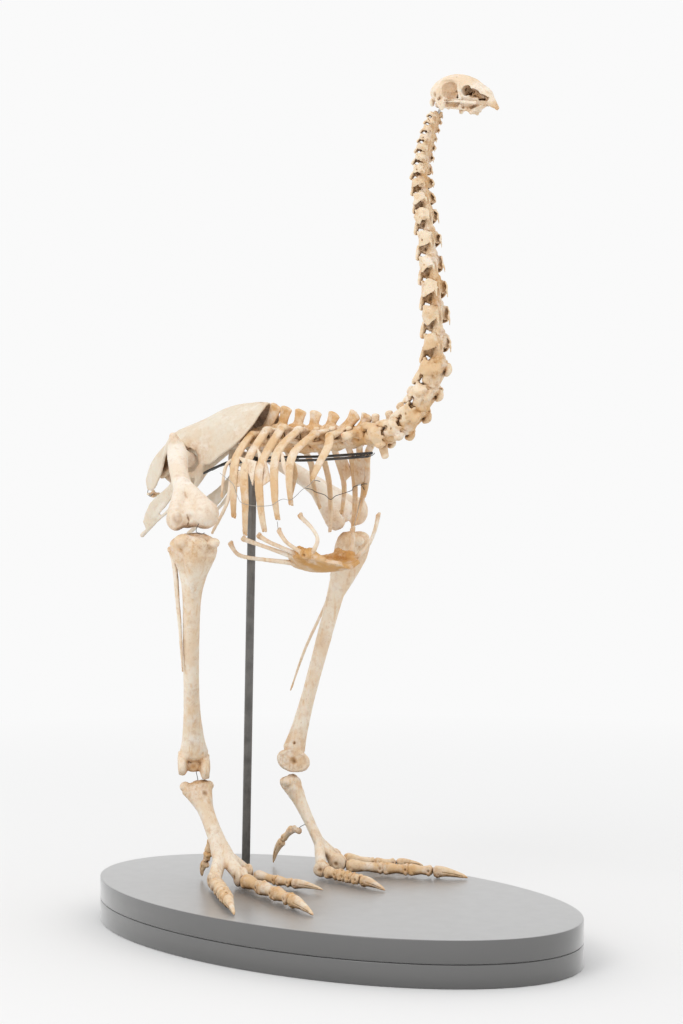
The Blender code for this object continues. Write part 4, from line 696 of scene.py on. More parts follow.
def evaluated_mesh(piece):
    """The piece's mesh with its modifiers, as a new mesh."""
    bpy.context.view_layer.update()
    graph = bpy.context.evaluated_depsgraph_get()
    return bpy.data.meshes.new_from_object(piece.evaluated_get(graph))


def melt(piece, voxel, rounds=2):
    """Melts a piece's overlapping shapes into one even skin."""
    skin = piece.modifiers.new("melt", "REMESH")
    skin.mode = "VOXEL"
    skin.voxel_size = voxel
    ease = piece.modifiers.new("ease", "SMOOTH")
    ease.factor = 0.5
    ease.iterations = rounds
    mesh = evaluated_mesh(piece)
    piece.modifiers.clear()
    piece.data = mesh


def new_piece(name, bm):
    """A scene object from a bmesh."""
    bmesh.ops.recalc_face_normals(bm, faces=bm.faces)
    mesh = bpy.data.meshes.new(name)
    bm.to_mesh(mesh)
    bm.free()
    piece = bpy.data.objects.new(name, mesh)
    bpy.context.scene.collection.objects.link(piece)
    return piece


def settle_in(piece, nodes, material, bird=True):
    """Gives a finished piece its place, finish and part in the frame."""
    if bird:
        piece.data.transform(Matrix.Translation((0.0, BIRD_OFFSET_Y, 0.0)))
    piece.data.materials.clear()
    piece.data.materials.append(material)
    piece.data.shade_smooth()
    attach(piece, "root")
    if nodes:
        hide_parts(*nodes)


def bone(name, bm, nodes, material, coarse=1.0, seed=1, cutters=(), pits=(), cracks=(),
         ends=(), crumble=1.5, rounds=4):
    """A finished bone from rough overlapping shapes.

    coarse scales the grain, cutters are shapes to cut away and rounds is how often the skin is eased.
    """
    sizes = bpy.context.scene.moa_sizes
    voxel = sizes.grain * coarse
    piece = new_piece(name, bm)
    melt(piece, voxel, rounds)
    if cutters:
        tools = [new_piece(f"{name}_tool", tool) for tool in cutters]
        for tool in tools:
            hole = piece.modifiers.new("cut", "BOOLEAN")
            hole.operation = "DIFFERENCE"
            hole.solver = "MANIFOLD"
            hole.object = tool
        mesh = evaluated_mesh(piece)
        piece.modifiers.clear()
        piece.data = mesh
        for tool in tools:
            bpy.data.objects.remove(tool)
        melt(piece, voxel, 1)
    age_surface(piece.data, sizes.wear, seed, pits, cracks, ends, crumble)
    settle_in(piece, nodes, material)


# ---- materials
class Paint:
    """Lays out one material's nodes, under a name that keeps clear of the frame's materials."""

    def __init__(self, name):
        name = f"moa_{name}"
        found = bpy.data.materials.get(name)
        self.made = found is None
        self.material = found or bpy.data.materials.new(name)
        if self.made:
            self.material.use_nodes = True
            self.tree = self.material.node_tree
            self.shader = self.tree.nodes["Principled BSDF"]
            self.where = self.tree.nodes.new("ShaderNodeTexCoord").outputs["Object"]

    def link(self, source, target):
        """Joins two sockets."""
        self.tree.links.new(source, target)

    def drive(self, **sources):
        """Feeds the shader's sockets, named with underscores for spaces."""
        for name, source in sources.items():
            self.link(source, self.shader.inputs[name.replace("_", " ")])

    def settle(self, values):
        """Gives the shader's sockets plain values."""
        for name, value in values.items():
            self.shader.inputs[name].default_value = value

    def noise(self, scale, detail=3.0, roughness=0.55, stretch=None):
        """Noise in the object's own metres, stretched along an axis if asked."""
        node = self.tree.nodes.new("ShaderNodeTexNoise")
        node.inputs["Scale"].default_value = scale
        node.inputs["Detail"].default_value = detail
        node.inputs["Roughness"].default_value = roughness
        source = self.where
        if stretch:
            mapping = self.tree.nodes.new("ShaderNodeMapping")
            mapping.inputs["Scale"].default_value = stretch
            self.link(source, mapping.inputs["Vector"])
            source = mapping.outputs["Vector"]
        self.link(source, node.inputs["Vector"])
        return node.outputs["Fac"]

    def cells(self, scale):
        """Distance to the nearest of scattered points."""
        node = self.tree.nodes.new("ShaderNodeTexVoronoi")
        node.inputs["Scale"].default_value = scale
        self.link(self.where, node.inputs["Vector"])
        return node.outputs["Distance"]

    def ramp(self, source, low, high, start=0.0, end=1.0):
        """Maps a range of values to another, held at its ends."""
        node = self.tree.nodes.new("ShaderNodeMapRange")
        node.inputs["From Min"].default_value = low
        node.inputs["From Max"].default_value = high
        node.inputs["To Min"].default_value = start
        node.inputs["To Max"].default_value = end
        self.link(source, node.inputs["Value"])
        return node.outputs["Result"]

    def sum(self, operation, first, second):
        """One arithmetic step on two values, either of which may be a plain number."""
        node = self.tree.nodes.new("ShaderNodeMath")
        node.operation = operation
        node.use_clamp = True
        for socket, value in zip(node.inputs, (first, second)):
            if isinstance(value, (int, float)):
                socket.default_value = value
            else:
                self.link(value, socket)
        return node.outputs["Value"]

    def shelter(self, reach):
        """How shut in each point is, from 0 in the open to 1 deep in a hollow this far across."""
        # Ambient occlusion, used by the bone finishes to paint shade into sheltered places.
        node = self.tree.nodes.new("ShaderNodeAmbientOcclusion")
        node.samples = 8
        node.inputs["Distance"].default_value = reach
        return self.ramp(node.outputs["AO"], 0.30, 0.86, 1.0, 0.0)

    def attribute(self, name):
        """A value stored on the mesh."""
        node = self.tree.nodes.new("ShaderNodeAttribute")
        node.attribute_name = name
        return node.outputs["Fac"]

    def mix(self, share, first, second):
        """Blends two colours by a socket's value; each colour is a socket or plain."""
        node = self.tree.nodes.new("ShaderNodeMix")
        node.data_type = "RGBA"
        sockets = [s for s in node.inputs if s.name in ("A", "B") and s.type == "RGBA"]
        for socket, value in zip(sockets, (first, second)):
            if hasattr(value, "is_output"):
                self.link(value, socket)
            else:
                socket.default_value = (*value, 1.0)
        factor = next(s for s in node.inputs if s.name == "Factor" and s.type == "VALUE")
        self.link(share, factor)
        return next(s for s in node.outputs if s.type == "RGBA")

    def bump(self, height, strength, distance, below=None):
        """Surface relief from a height value, over an earlier relief if given."""
        node = self.tree.nodes.new("ShaderNodeBump")
        node.inputs["Strength"].default_value = strength
        node.inputs["Distance"].default_value = distance
        self.link(height, node.inputs["Height"])
        if below:
            self.link(below, node.inputs["Normal"])
        return node.outputs["Normal"]


def blend(first, second, share):
    """A plain colour between two others."""
    return tuple(a * (1 - share) + b * share for a, b in zip(first, second))


BONE_VALUES = {
    "Specular IOR Level": 0.38, "Subsurface Weight": 0.08, "Subsurface Scale": 0.003,
    "Subsurface Radius": (1.0, 0.48, 0.22),
}
BOARD_VALUES = {
    "Coat Weight": 1.0, "Coat Roughness": 0.28, "Coat IOR": 1.5,
    "Sheen Weight": 0.90, "Sheen Roughness": 0.30, "IOR": 2.1,
}


def bone_material(name, clean, stained, stain_share=0.35, streaks=None, pitted=0.35, rusty=0.35, deep=0.85,
                  shelter=0.024):
    """Dry bone: two tones, rusty stains, freckles, pores, painted shade and dirt in hollows, pale ridges.

    streaks is the stretch of streaks along a shaft, pitted the strength of pores and freckles, rusty
    that of blotches, deep how dark the painted shade in hollows goes, and shelter how wide a hollow
    counts as one.
    """
    paint = Paint(name)
    if not paint.made:
        return paint.material
    finish = bpy.context.scene.moa_finish
    worn = paint.attribute("worn")
    broad = paint.ramp(paint.noise(18.0, 3.0), 0.42, 0.64)
    mottle = paint.ramp(paint.noise(80.0, 4.0, 0.62), 0.46, 0.68)
    stain = paint.sum("ADD", broad, paint.sum("MULTIPLY", mottle, 0.7))
    stain = paint.sum("MULTIPLY", stain, stain_share)
    stain = paint.sum("ADD", stain, paint.sum("MULTIPLY", worn, 0.42))
    tone = paint.mix(stain, clean, stained)
    # Rubbed patches, streaks, blotches and the rust of worn ends.
    rubbed = paint.ramp(paint.noise(34.0, 4.0, 0.6), 0.52, 0.66, 0.0, 0.55)
    tone = paint.mix(rubbed, tone, finish.chalk)
    if streaks:
        lines = paint.ramp(paint.noise(150.0, 3.0, 0.6, streaks), 0.55, 0.70, 0.0, 0.50)
        tone = paint.mix(lines, tone, stained)
    blotch = paint.ramp(paint.noise(52.0, 5.0, 0.70), 0.54, 0.68)
    tone = paint.mix(paint.sum("MULTIPLY", blotch, rusty), tone, finish.rust)
    near_end = paint.sum("MULTIPLY", worn, paint.ramp(paint.noise(190.0, 4.0, 0.7), 0.48, 0.62))
    tone = paint.mix(paint.sum("MULTIPLY", near_end, 0.55), tone, finish.rust)
    # Pores and freckles, in patches.
    pores = paint.ramp(paint.cells(420.0), 0.02, 0.16, 1.0, 0.0)
    freckles = paint.ramp(paint.cells(210.0), 0.08, 0.26, 1.0, 0.0)
    patches = paint.ramp(paint.noise(60.0, 2.0), 0.44, 0.60)
    specks = paint.sum("ADD", pores, paint.sum("MULTIPLY", freckles, 0.7))
    specks = paint.sum("MULTIPLY", specks, patches)
    tone = paint.mix(paint.sum("MULTIPLY", specks, pitted), tone, finish.rust)
    # Painted shade, with some dirt, in the hollows, pits and cracks; pale ridges.
    shut = paint.sum("MAXIMUM", paint.ramp(paint.attribute("hollow"), 0.18, 1.0), paint.shelter(shelter))
    uneven = paint.ramp(paint.noise(110.0, 3.0), 0.30, 0.65, 0.55, 1.0)
    shut = paint.sum("MULTIPLY", shut, uneven)
    # The painted shade runs from the rust colour to the hollow colour as a place gets more shut in.
    grime_and_shade = paint.mix(paint.ramp(shut, 0.35, 0.95), finish.rust, finish.hollow)
    tone = paint.mix(paint.ramp(shut, 0.10, 0.80, 0.0, deep), tone, grime_and_shade)
    tone = paint.mix(paint.ramp(paint.attribute("ridge"), 0.20, 0.9, 0.0, 0.30), tone, clean)
    rough = paint.ramp(paint.noise(130.0, 3.0), 0.3, 0.7, 0.50, 0.72)
    grain = paint.bump(paint.noise(700.0, 4.0, 0.65), 0.35, 0.0005)
    relief = paint.bump(paint.sum("MULTIPLY", specks, 0.6), 0.35 * pitted + 0.10, -0.0008, grain)
    paint.drive(Base_Color=tone, Roughness=rough, Normal=relief)
    paint.settle(BONE_VALUES)
    return paint.material


def ivory_bone(name, other, share, stained="tan", **values):
    """A bone finish whose clean tone is ivory with a share of another colour."""
    finish = bpy.context.scene.moa_finish
    clean = blend(finish.ivory, getattr(finish, other), share)
    return bone_material(name, clean, getattr(finish, stained), **values)


def hip_bone():
    """Greyish cream bone of the thin hip roof, with brown stain and painted shade where it is sheltered."""
    finish = bpy.context.scene.moa_finish
    return bone_material("bone_hip", finish.hip, finish.tan, stain_share=0.24, pitted=0.50, rusty=0.22,
                         deep=0.92, shelter=0.050)


def plain_bone():
    """Pale bone for the thighs."""
    return ivory_bone("bone_ivory", "chalk", 0.60, stain_share=0.26, pitted=0.55, rusty=0.26)


def skull_bone():
    """Pale ivory bone of the skull, stained tan, with painted shade and brown dirt in its hollows."""
    return ivory_bone("bone_skull", "chalk", 0.35, stain_share=0.42, pitted=0.30, rusty=0.34, deep=0.92)


def long_bone():
    """Ivory bone with brown streaks that run down the shaft."""
    return ivory_bone("bone_long", "chalk", 0.35, stain_share=0.40, streaks=(1.0, 1.0, 0.10), pitted=0.60,
                      rusty=0.34)


def spine_bone():
    """Porous bone of the neck, with painted shade, orange-brown to dark, in its many hollows."""
    return ivory_bone("bone_spine", "tan", 0.12, stain_share=0.66, pitted=0.80, rusty=0.60, deep=0.92)


def back_bone():
    """Porous bone of the back, the most ochre of the skeleton but for the breastbone."""
    return ivory_bone("bone_back", "tan", 0.22, stain_share=0.90, pitted=0.90, rusty=0.65, deep=0.95)


def rib_bone():
    """Smooth, warm bone of the ribs, with rusty flecks and darker tips."""
    return ivory_bone("bone_rib", "tan", 0.32, stain_share=0.65, pitted=0.60, rusty=0.42)


def toe_bone():
    """Darker, waxy bone of the toes."""
    return ivory_bone("bone_toe", "tan", 0.28, stain_share=0.70, pitted=0.70, rusty=0.48)


def ochre_bone():
    """Strongly stained, spongy bone of the breastbone."""
    return ivory_bone("bone_ochre", "ochre", 0.55, "ochre", stain_share=1.00, pitted=0.80, rusty=0.45)


def painted_board():
    """Dark grey paint with a faint roller texture, under a soft clear coat and a light sheen."""
    paint = Paint("plinth_paint")
    if paint.made:
        finish = bpy.context.scene.moa_finish
        pale = tuple(min(1.0, c * 1.25) for c in finish.paint)
        tone = paint.mix(paint.ramp(paint.noise(9.0, 2.0), 0.35, 0.7, 0.0, 0.5), finish.paint, pale)
        rough = paint.ramp(paint.noise(40.0, 3.0), 0.3, 0.7, 0.34, 0.42)
        paint.drive(Base_Color=tone, Roughness=rough,
                    Normal=paint.bump(paint.noise(900.0, 2.0), 0.12, 0.0002))
        paint.settle(BOARD_VALUES)
    return paint.material


def metal(name, tone, rough, metallic=1.0):
    """Wire or rod metal with fine scratches and dull patches."""
    paint = Paint(name)
    if paint.made:
        dull = tuple(c * 0.6 for c in tone)
        patch = paint.ramp(paint.noise(45.0, 3.0), 0.4, 0.7)
        shine = paint.ramp(paint.noise(300.0, 2.0), 0.3, 0.7, rough, rough + 0.15)
        scratches = paint.bump(paint.noise(800.0, 2.0), 0.15, 0.0002)
        paint.drive(Base_Color=paint.mix(patch, tone, dull), Roughness=shine, Normal=scratches)
        paint.settle({"Metallic": metallic})
    return paint.material


def tinned_wire():
    """Bright wire of the hangers and the near ribs."""
    return metal("tinned_wire", bpy.context.scene.moa_finish.tin, 0.30)


def dark_wire():
    """Dull dark wire of the windings and the other ties."""
    return metal("dark_wire", bpy.context.scene.moa_finish.steel, 0.45)


def dark_steel():
    """Dark steel of the bars and their clamp."""
    return metal("dark_steel", bpy.context.scene.moa_finish.steel, 0.35)


# ---- plinth and rods
SHARP_ANGLE = math.radians(50)
POST_SIDES = 48
POST_EDGE = 0.001
# The boards' flat faces are ringed this far in, to hold the shading of their edges.
BOARD_RING = 0.004
BOARD_CAP = 0.25
# A winding's steps a turn, and how far it stands off the bars sideways and upward.
WINDING_STEPS = 12
WINDING_REACH = 0.0032
WINDING_RISE = 0.0034
CLAMP_GRAIN = 0.0007


def ringed_piece(name, bm, rings):
    """A scene object from a stack of rings, closed flat at both ends."""
    join_rings(bm, rings)
    bm.faces.new(list(reversed(rings[0])))
    bm.faces.new(rings[-1])
    return new_piece(name, bm)


def oval_board(name, node, low, high):
    """One painted board of the plinth, with softened edges."""
    sizes = bpy.context.scene.moa_sizes
    length, width = PLINTH_HIGH[0], PLINTH_HIGH[1]
    edge = sizes.plinth_edge
    bm = bmesh.new()
    rings = []
    corner = edge * 0.3
    outline = (
        (BOARD_CAP, low), (BOARD_RING, low), (edge, low), (corner, low + corner), (0.0, low + edge),
        (0.0, high - edge), (corner, high - corner), (edge, high), (BOARD_RING, high), (BOARD_CAP, high),
    )
    for inset, z in outline:
        ring = []
        for turn in angles(sizes.plinth_sides):
            spot = ((length - inset) * math.cos(turn), (width - inset) * math.sin(turn), z)
            ring.append(bm.verts.new(spot))
        rings.append(ring)
    piece = ringed_piece(name, bm, rings)
    settle_in(piece, (node,), painted_board(), bird=False)
    piece.data.set_sharp_from_angle(angle=SHARP_ANGLE)


def rod(name, nodes, path, radius, material, sides=16, per_span=6, up=(0, 0, 1)):
    """A round rod or wire along a smooth path."""
    bm = bmesh.new()
    add_limb(bm, path, [radius] * len(path), [radius] * len(path), up=up, sides=sides, per_span=per_span)
    piece = new_piece(name, bm)
    settle_in(piece, nodes, material)


def straight_cylinder(name, nodes, foot, top, radius, material):
    """A straight round post between two points, with softened end edges."""
    foot, top = Vector(foot), Vector(top)
    axis = (top - foot).normalized()
    bm = bmesh.new()
    across = axis.cross(Vector((0, 1, 0))).normalized()
    beside = axis.cross(across)
    rings = []
    step = axis * POST_EDGE
    for inset, spot in ((POST_EDGE, foot), (0.0, foot + step), (0.0, top - step), (POST_EDGE, top)):
        rings.append([
            bm.verts.new(spot + (across * math.cos(t) + beside * math.sin(t)) * (radius - inset))
            for t in angles(POST_SIDES)
        ])
    piece = ringed_piece(name, bm, rings)
    settle_in(piece, nodes, material)
    piece.data.set_sharp_from_angle(angle=SHARP_ANGLE)


def bar_height(x, side):
    """The height of a bar's middle line at this place along it."""
    line = smooth_run(BAR_LINE, 12)
    near = min(line, key=lambda spot: abs(spot[0] - x))
    return near[1] - (BAR_DROP if side < 0 else 0.0)


def build_binding(name, x, run, turns):
    """Dark wire wound round both bars."""
    steps = turns * WINDING_STEPS
    path = []
    for k in range(steps + 1):
        turn = 2 * math.pi * k / WINDING_STEPS
        at = x + run * k / steps
        heights = [bar_height(at, side) for side in (-1, 1)]
        middle, half = sum(heights) / 2, (heights[1] - heights[0]) / 2
        out = math.cos(turn)
        height = middle + out * half + math.sin(turn) * WINDING_RISE
        path.append((at, out * (BAR_SPREAD + WINDING_REACH), height))
    radius = bpy.context.scene.moa_sizes.wire_radius * 1.3
    rod(name, (), path, radius, dark_wire(), sides=6, per_span=2, up=(1, 0, 0))


def build_clamp():
    """The small dark block and screw that hold the bars to the post's top."""
    x, _, z = POST_TOP
    bm = bmesh.new()
    add_limb(bm, ((x, -0.015, z - 0.004), (x, 0.015, z - 0.002)), (0.0085, 0.0085), (0.006, 0.006),
             sides=24)
    add_limb(bm, ((x - 0.003, 0.0, z - 0.012), (x - 0.003, 0.0, z + 0.004)), (0.0088, 0.0088),
             (0.0088, 0.0088), up=(0, 1, 0), sides=24)
    add_limb(bm, ((x + 0.006, -0.004, z - 0.006), (x + 0.0125, -0.008, z - 0.006)), (0.0028, 0.0028),
             (0.0028, 0.0028), sides=12)
    piece = new_piece("bar_clamp", bm)
    melt(piece, CLAMP_GRAIN)
    settle_in(piece, (), dark_steel())


# ---- skull
def build_skull():
    """Brain case, beak, cheek bars and palate, with open eye and nose hollows."""
    bm = bmesh.new()
    points = [(x, 0.0, (top + low) / 2) for x, top, low, _ in SKULL_PROFILE]
    widths = [half for _, _, _, half in SKULL_PROFILE]
    depths = [(top - low) / 2 for _, top, low, _ in SKULL_PROFILE]
    add_limb(bm, points, widths, depths, sides=28)
    for centre, radii in SKULL_MIDDLE_LUMPS:
        add_knob(bm, centre, radii)
    add_limb(bm, *SKULL_PALATE)
    for x, out, z, size in PALATE_LUMPS:
        for side in (-1, 1):
            add_knob(bm, (x, out * side, z), (size, size * 0.8, size))
    add_limb(bm, *SKULL_BEAK_TIP)
    for side in (-1, 1):
        for centre, radii in SKULL_SIDE_LUMPS:
            add_knob(bm, sided(centre, side), radii)
        for path, wide, deep, up in SKULL_STRUTS:
            add_limb(bm, [sided(p, side) for p in path], wide, deep, up=up)
    slope = Matrix.Rotation(math.radians(NASAL_SLOPE), 3, "Y")
    tools = []
    for side in (-1, 1):
        for centre, radii, sloped in SKULL_HOLES:
            tool = bmesh.new()
            add_knob(tool, sided(centre, side), radii, slope if sloped else None)
            tools.append(tool)
    pits = []
    for side in (-1, 1):
        for centre, radius, depth in SKULL_PITS:
            pits.append((sided(centre, side), radius, depth))
        for k in range(SPONGE_PITS):
            out = 0.0075 if k % 3 else 0.0115
            drop = 0.003 if k % 2 else -0.002
            pits.append(((0.260 + 0.0029 * k, out * side, 1.3735 - 0.0012 * k - drop), 0.0027, 0.003))
    bone("skull_bone", bm, ("skull",), skull_bone(), coarse=0.60, seed=11, cutters=tools, pits=pits,
         ends=SKULL_WORN, crumble=3.0, rounds=3)


# ---- backbone
def neck_bones():
    """Start, end and width of each neck bone, head end first."""
    line = Line(NECK_LINE)
    scale = line.reach[-1] / (sum(NECK_BONE_MM) / 1000)
    far = 0.0
    bones = []
    for number, length_mm in enumerate(NECK_BONE_MM):
        front = line.at(far)
        far += length_mm / 1000 * scale
        back = line.at(far)
        width = NECK_WIDTH_TOP + (NECK_WIDTH_BOTTOM - NECK_WIDTH_TOP) * min(1.0, number / NECK_WIDEST)
        bones.append((front, back, width))
    return bones


def build_neck_bone(number, front, back, width, node):
    """One neck bone: waisted body, arch, joint wings, side shields, struts and a keel."""
    ahead = (front - back).normalized()
    length = (front - back).length
    left = Vector((0, 1, 0))
    upper = ahead.cross(left).normalized()
    middle = back.lerp(front, 0.5)
    low = number >= LOW_NECK_FROM

    def spot(along, out, rise):
        """A point of the bone: along in lengths, out and rise in widths."""
        return middle + ahead * along * length + left * out * width + upper * rise * width

    def limb(places, wide, deep, up=upper, sides=12):
        """A limb of the bone, with its half sizes in widths."""
        half_wide, half_deep = [w * width for w in wide], [d * width for d in deep]
        add_limb(bm, [spot(*place) for place in places], half_wide, half_deep, up=up, sides=sides)

    chance = random.Random(400 + number)

    def uneven():
        """A small random shift."""
        return chance.uniform(-SHIELD_UNEVEN, SHIELD_UNEVEN)

    bm = bmesh.new()
    body = (0.29, 0.26, 0.24, 0.28, 0.30) if low else (0.23, 0.19, 0.165, 0.19, 0.23)
    depth = (0.24, 0.22, 0.20, 0.23, 0.25) if low else (0.18, 0.155, 0.135, 0.155, 0.175)
    limb(((-0.49, 0, 0), (-0.30, 0, 0), (0.0, 0, 0.01), (0.30, 0, 0), (0.44, 0, 0)), body, depth, sides=16)
    limb(((-0.26, 0, 0.25), (0.0, 0, 0.28), (0.32, 0, 0.22)), (0.18, 0.22, 0.19), (0.10, 0.12, 0.10))
    limb(((-0.40, 0, -0.12), (0.0, 0, -0.15), (0.30, 0, -0.12)), (0.05, 0.035, 0.06), (0.06, 0.05, 0.06))
    if number >= SPINED_NECK_FROM:
        limb(((-0.22, 0, 0.30), (-0.20, 0, 0.50), (-0.18, 0, 0.60)), (0.07, 0.06, 0.08), (0.16, 0.14, 0.14),
             up=ahead)
    else:
        limb(((0.10, 0, 0.34), (-0.12, 0, 0.41), (-0.28, 0, 0.36)), (0.05, 0.05, 0.05), (0.06, 0.08, 0.06))
    for side in (-1, 1):
        limb(((-0.36, 0.12 * side, 0.14), (-0.05, 0.13 * side, 0.15), (0.25, 0.14 * side, 0.14)),
             (0.050, 0.055, 0.065), (0.12, 0.13, 0.12))
        limb(((-0.10, 0.14 * side, 0.31), (-0.42, 0.27 * side, 0.36), (-0.60, 0.31 * side, 0.36)),
             (0.07, 0.095, 0.085), (0.06, 0.07, 0.050))
        limb(((0.05, 0.16 * side, 0.18), (0.32, 0.31 * side, 0.16), (0.50, 0.33 * side, 0.20)),
             (0.08, 0.10, 0.08), (0.07, 0.06, 0.045))
        shield = []
        for row in NECK_SHIELD:
            shield.append([spot(along + uneven(), out * side + uneven(), rise + uneven())
                           for along, out, rise in row])
        add_sheet(bm, shield, max(0.055 * width, 0.0017), 3)
        limb(((-0.05, 0.25 * side, 0.31), (-0.32, 0.285 * side, 0.36), (-0.58, 0.31 * side, 0.36)),
             (0.050, 0.055, 0.060), (0.055, 0.055, 0.045))
        limb(((0.27, 0.12 * side, -0.06), (0.27, 0.34 * side, -0.05)), (0.24, 0.22), (0.075, 0.070))
        limb(((-0.38, 0.12 * side, -0.08), (-0.52, 0.14 * side, -0.10)), (0.08, 0.07), (0.08, 0.06))
        if low:
            limb(((0.44, 0.22 * side, -0.22), (0.22, 0.25 * side, -0.27), (0.02, 0.24 * side, -0.22)),
                 (0.075, 0.105, 0.060), (0.085, 0.105, 0.070))
            limb(((0.20, 0.30 * side, -0.02), (-0.20, 0.28 * side, 0.02), (-0.42, 0.24 * side, 0.0)),
                 (0.13, 0.10, 0.07), (0.16, 0.14, 0.12))
            limb(((0.10, 0.30 * side, 0.20), (-0.25, 0.28 * side, 0.26), (-0.50, 0.28 * side, 0.30)),
                 (0.10, 0.08, 0.07), (0.12, 0.09, 0.07))
        else:
            limb(((0.10, 0.25 * side, -0.23), (-0.02, 0.27 * side, -0.25), (-0.20, 0.27 * side, -0.25)),
                 (0.045, 0.030, 0.014), (0.040, 0.028, 0.014))
    if number == len(NECK_BONE_MM) - 1:
        add_limb(bm, [Vector(p) for p in LAST_NECK_KEEL], (0.0045, 0.0038, 0.0042), (0.010, 0.0085, 0.007),
                 up=(1, 0, 0))
    pits = []
    for side in (-1, 1):
        pits += [(spot(-0.22, (0.33 if low else 0.20) * side, 0.12), 0.085 * width + 0.001, 0.0038),
                 (spot(0.12, 0.41 * side, 0.02), 0.060 * width, 0.0018),
                 (spot(0.30, 0.40 * side, 0.10), 0.0018, 0.0022),
                 (spot(-0.02, (0.36 if low else 0.19) * side, -0.06), 0.0028, 0.0028),
                 (spot(0.02, 0.10 * side, -0.20), 0.060 * width, 0.002)]
    ends = [(spot(0.5, 0, 0), 0.30 * width), (spot(-0.5, 0, 0), 0.30 * width)]
    bone(f"neck_bone_{number + 1:02d}", bm, (node,), spine_bone(), coarse=0.70, seed=20 + number, pits=pits,
         ends=ends, crumble=1.8)


def build_neck():
    """All neck bones, each its own piece."""
    for number, (front, back, width) in enumerate(neck_bones()):
        node = 1 + max(k for k, start in enumerate(NECK_NODE_STARTS) if number >= start)
        axis = (back - front).normalized()
        gap = axis * NECK_GAP
        build_neck_bone(number, front + gap, back - gap, width, f"neck_{node}")


def back_bone_centres():
    """The start, middle and end of each back bone."""
    line = Line(BACK_LINE)
    length = line.reach[-1] / BACK_BONES
    return [tuple(line.at((k + share) * length) for share in (0, 0.5, 1)) for k in range(BACK_BONES)]


def build_back_bone(number, start, middle, end):
    """One back bone: body, arch on two walls, joint wings, side arms and a tall blade."""
    tangent = (end - start).normalized()
    lift = Vector((0, 0, 1))
    gap = tangent * 0.0006
    roof = lift * ROOF_RISE[number]
    bm = bmesh.new()
    add_limb(bm, (start + gap, start.lerp(end, 0.22), middle, start.lerp(end, 0.78), end - gap),
             (0.016, 0.0128, 0.0105, 0.0128, 0.016), (0.015, 0.013, 0.0118, 0.013, 0.015), sides=20)
    add_limb(bm, (start + gap * 7 + roof, middle + roof + lift * 0.002, end - gap * 7 + roof),
             (0.0115, 0.009, 0.0115), (0.008, 0.0085, 0.008))
    x, z = SPINE_TOPS[number]
    foot = middle + roof
    top = Vector((x, 0.0, z - 0.003))
    add_limb(bm, (foot, foot.lerp(top, 0.45), foot.lerp(top, 0.85), top), (0.0135, 0.0102, 0.0122, 0.0136),
             (0.0052, 0.0032, 0.004, 0.0052), up=(0, 1, 0))
    pits = []
    for side in (-1, 1):
        wall = middle - tangent * 0.005 + Vector((0, 0.0095 * side, 0.0))
        add_limb(bm, (wall + lift * 0.002, wall + roof * 0.95), (0.012, 0.011), (0.0055, 0.0055),
                 up=(0, 1, 0))
        tip = middle + Vector((0.0, ARM_REACH * side, ARM_RISE[number]))
        root = middle + roof * 0.80 + Vector((0, 0.008 * side, 0))
        add_limb(bm, (root, root.lerp(tip, 0.55) + lift * 0.001, tip), (0.015, 0.0118, 0.0112),
                 (0.0066, 0.005, 0.0062))
        add_knob(bm, tip, (0.0115, 0.0056, 0.007))
        for reach in (-0.006, 0.007):
            add_limb(bm, (middle + Vector((reach, 0.013 * side, 0.004)), root.lerp(tip, 0.70)),
                     (0.0042, 0.0034), (0.006, 0.0034))
        add_knob(bm, start.lerp(end, 0.16) + Vector((0, 0.015 * side, 0.004)), (0.0072, 0.0052, 0.008))
        add_knob(bm, end.lerp(start, 0.12) + Vector((0, 0.013 * side, 0.003)), (0.006, 0.005, 0.0072))
        for edge, out in ((start, 0.011), (end, 0.0095)):
            add_knob(bm, edge + roof * 0.90 + Vector((0, out * side, 0.002)), (0.0075, 0.005, 0.0048))
        pits += [(middle + tangent * 0.008 + Vector((0, 0.010 * side, 0.010)), 0.0062, 0.005),
                 (middle + Vector((0.002, 0.011 * side, -0.002)), 0.0034, 0.0024),
                 (middle - tangent * 0.012 + Vector((0, 0.013 * side, 0.016)), 0.004, 0.0034)]
    ends = [(start, 0.016), (end, 0.016), (middle + roof, 0.018), (top, 0.008)]
    bone(f"back_bone_{number + 1}", bm, ("rib_cage_right", "rib_cage_left"), back_bone(), coarse=0.85,
         seed=50 + number, pits=pits, ends=ends, crumble=2.4)


def build_rib(name, side, centre, rib, seed):
    """One two-headed rib with a broad, flattened shaft that thins to a worn tip."""
    number, bend, middle, tip = rib
    shoulder = centre + Vector((-0.001, (ARM_REACH + 0.002) * side, ARM_RISE[number] - 0.001))
    head = centre + Vector((0.003, 0.0175 * side, 0.004))
    bm = bmesh.new()
    path = (shoulder, sided(bend, side), sided(middle, side), sided(tip, side))
    share = 1.0 if side < 0 else FAR_RIB_SHARE
    add_limb(bm, path, [w * share for w in (0.0096, 0.0098, 0.008, 0.006)], (0.0048, 0.004, 0.003, 0.0024),
             up=(0, side, 0.35), per_span=8)
    add_knob(bm, shoulder, (0.0088, 0.0064, 0.0052))
    fork = path[0].lerp(path[1], 0.42)
    add_limb(bm, (head, head.lerp(fork, 0.45) + Vector((0, 0, -0.002)), fork), (0.005, 0.0058, 0.0088),
             (0.0044, 0.003, 0.0034), sides=12)
    add_knob(bm, head, (0.0052, 0.0042, 0.005))
    ends = [(shoulder, 0.010), (head, 0.008), (sided(tip, side), 0.011)]
    pits = [(sided(tip, side), 0.0034, 0.0022), (fork + Vector((0, 0, -0.004)), 0.003, 0.0016)]
    node = "rib_cage_right" if side < 0 else "rib_cage_left"
    bone(name, bm, (node,), rib_bone(), coarse=0.85, seed=seed, pits=pits, ends=ends, crumble=2.2)


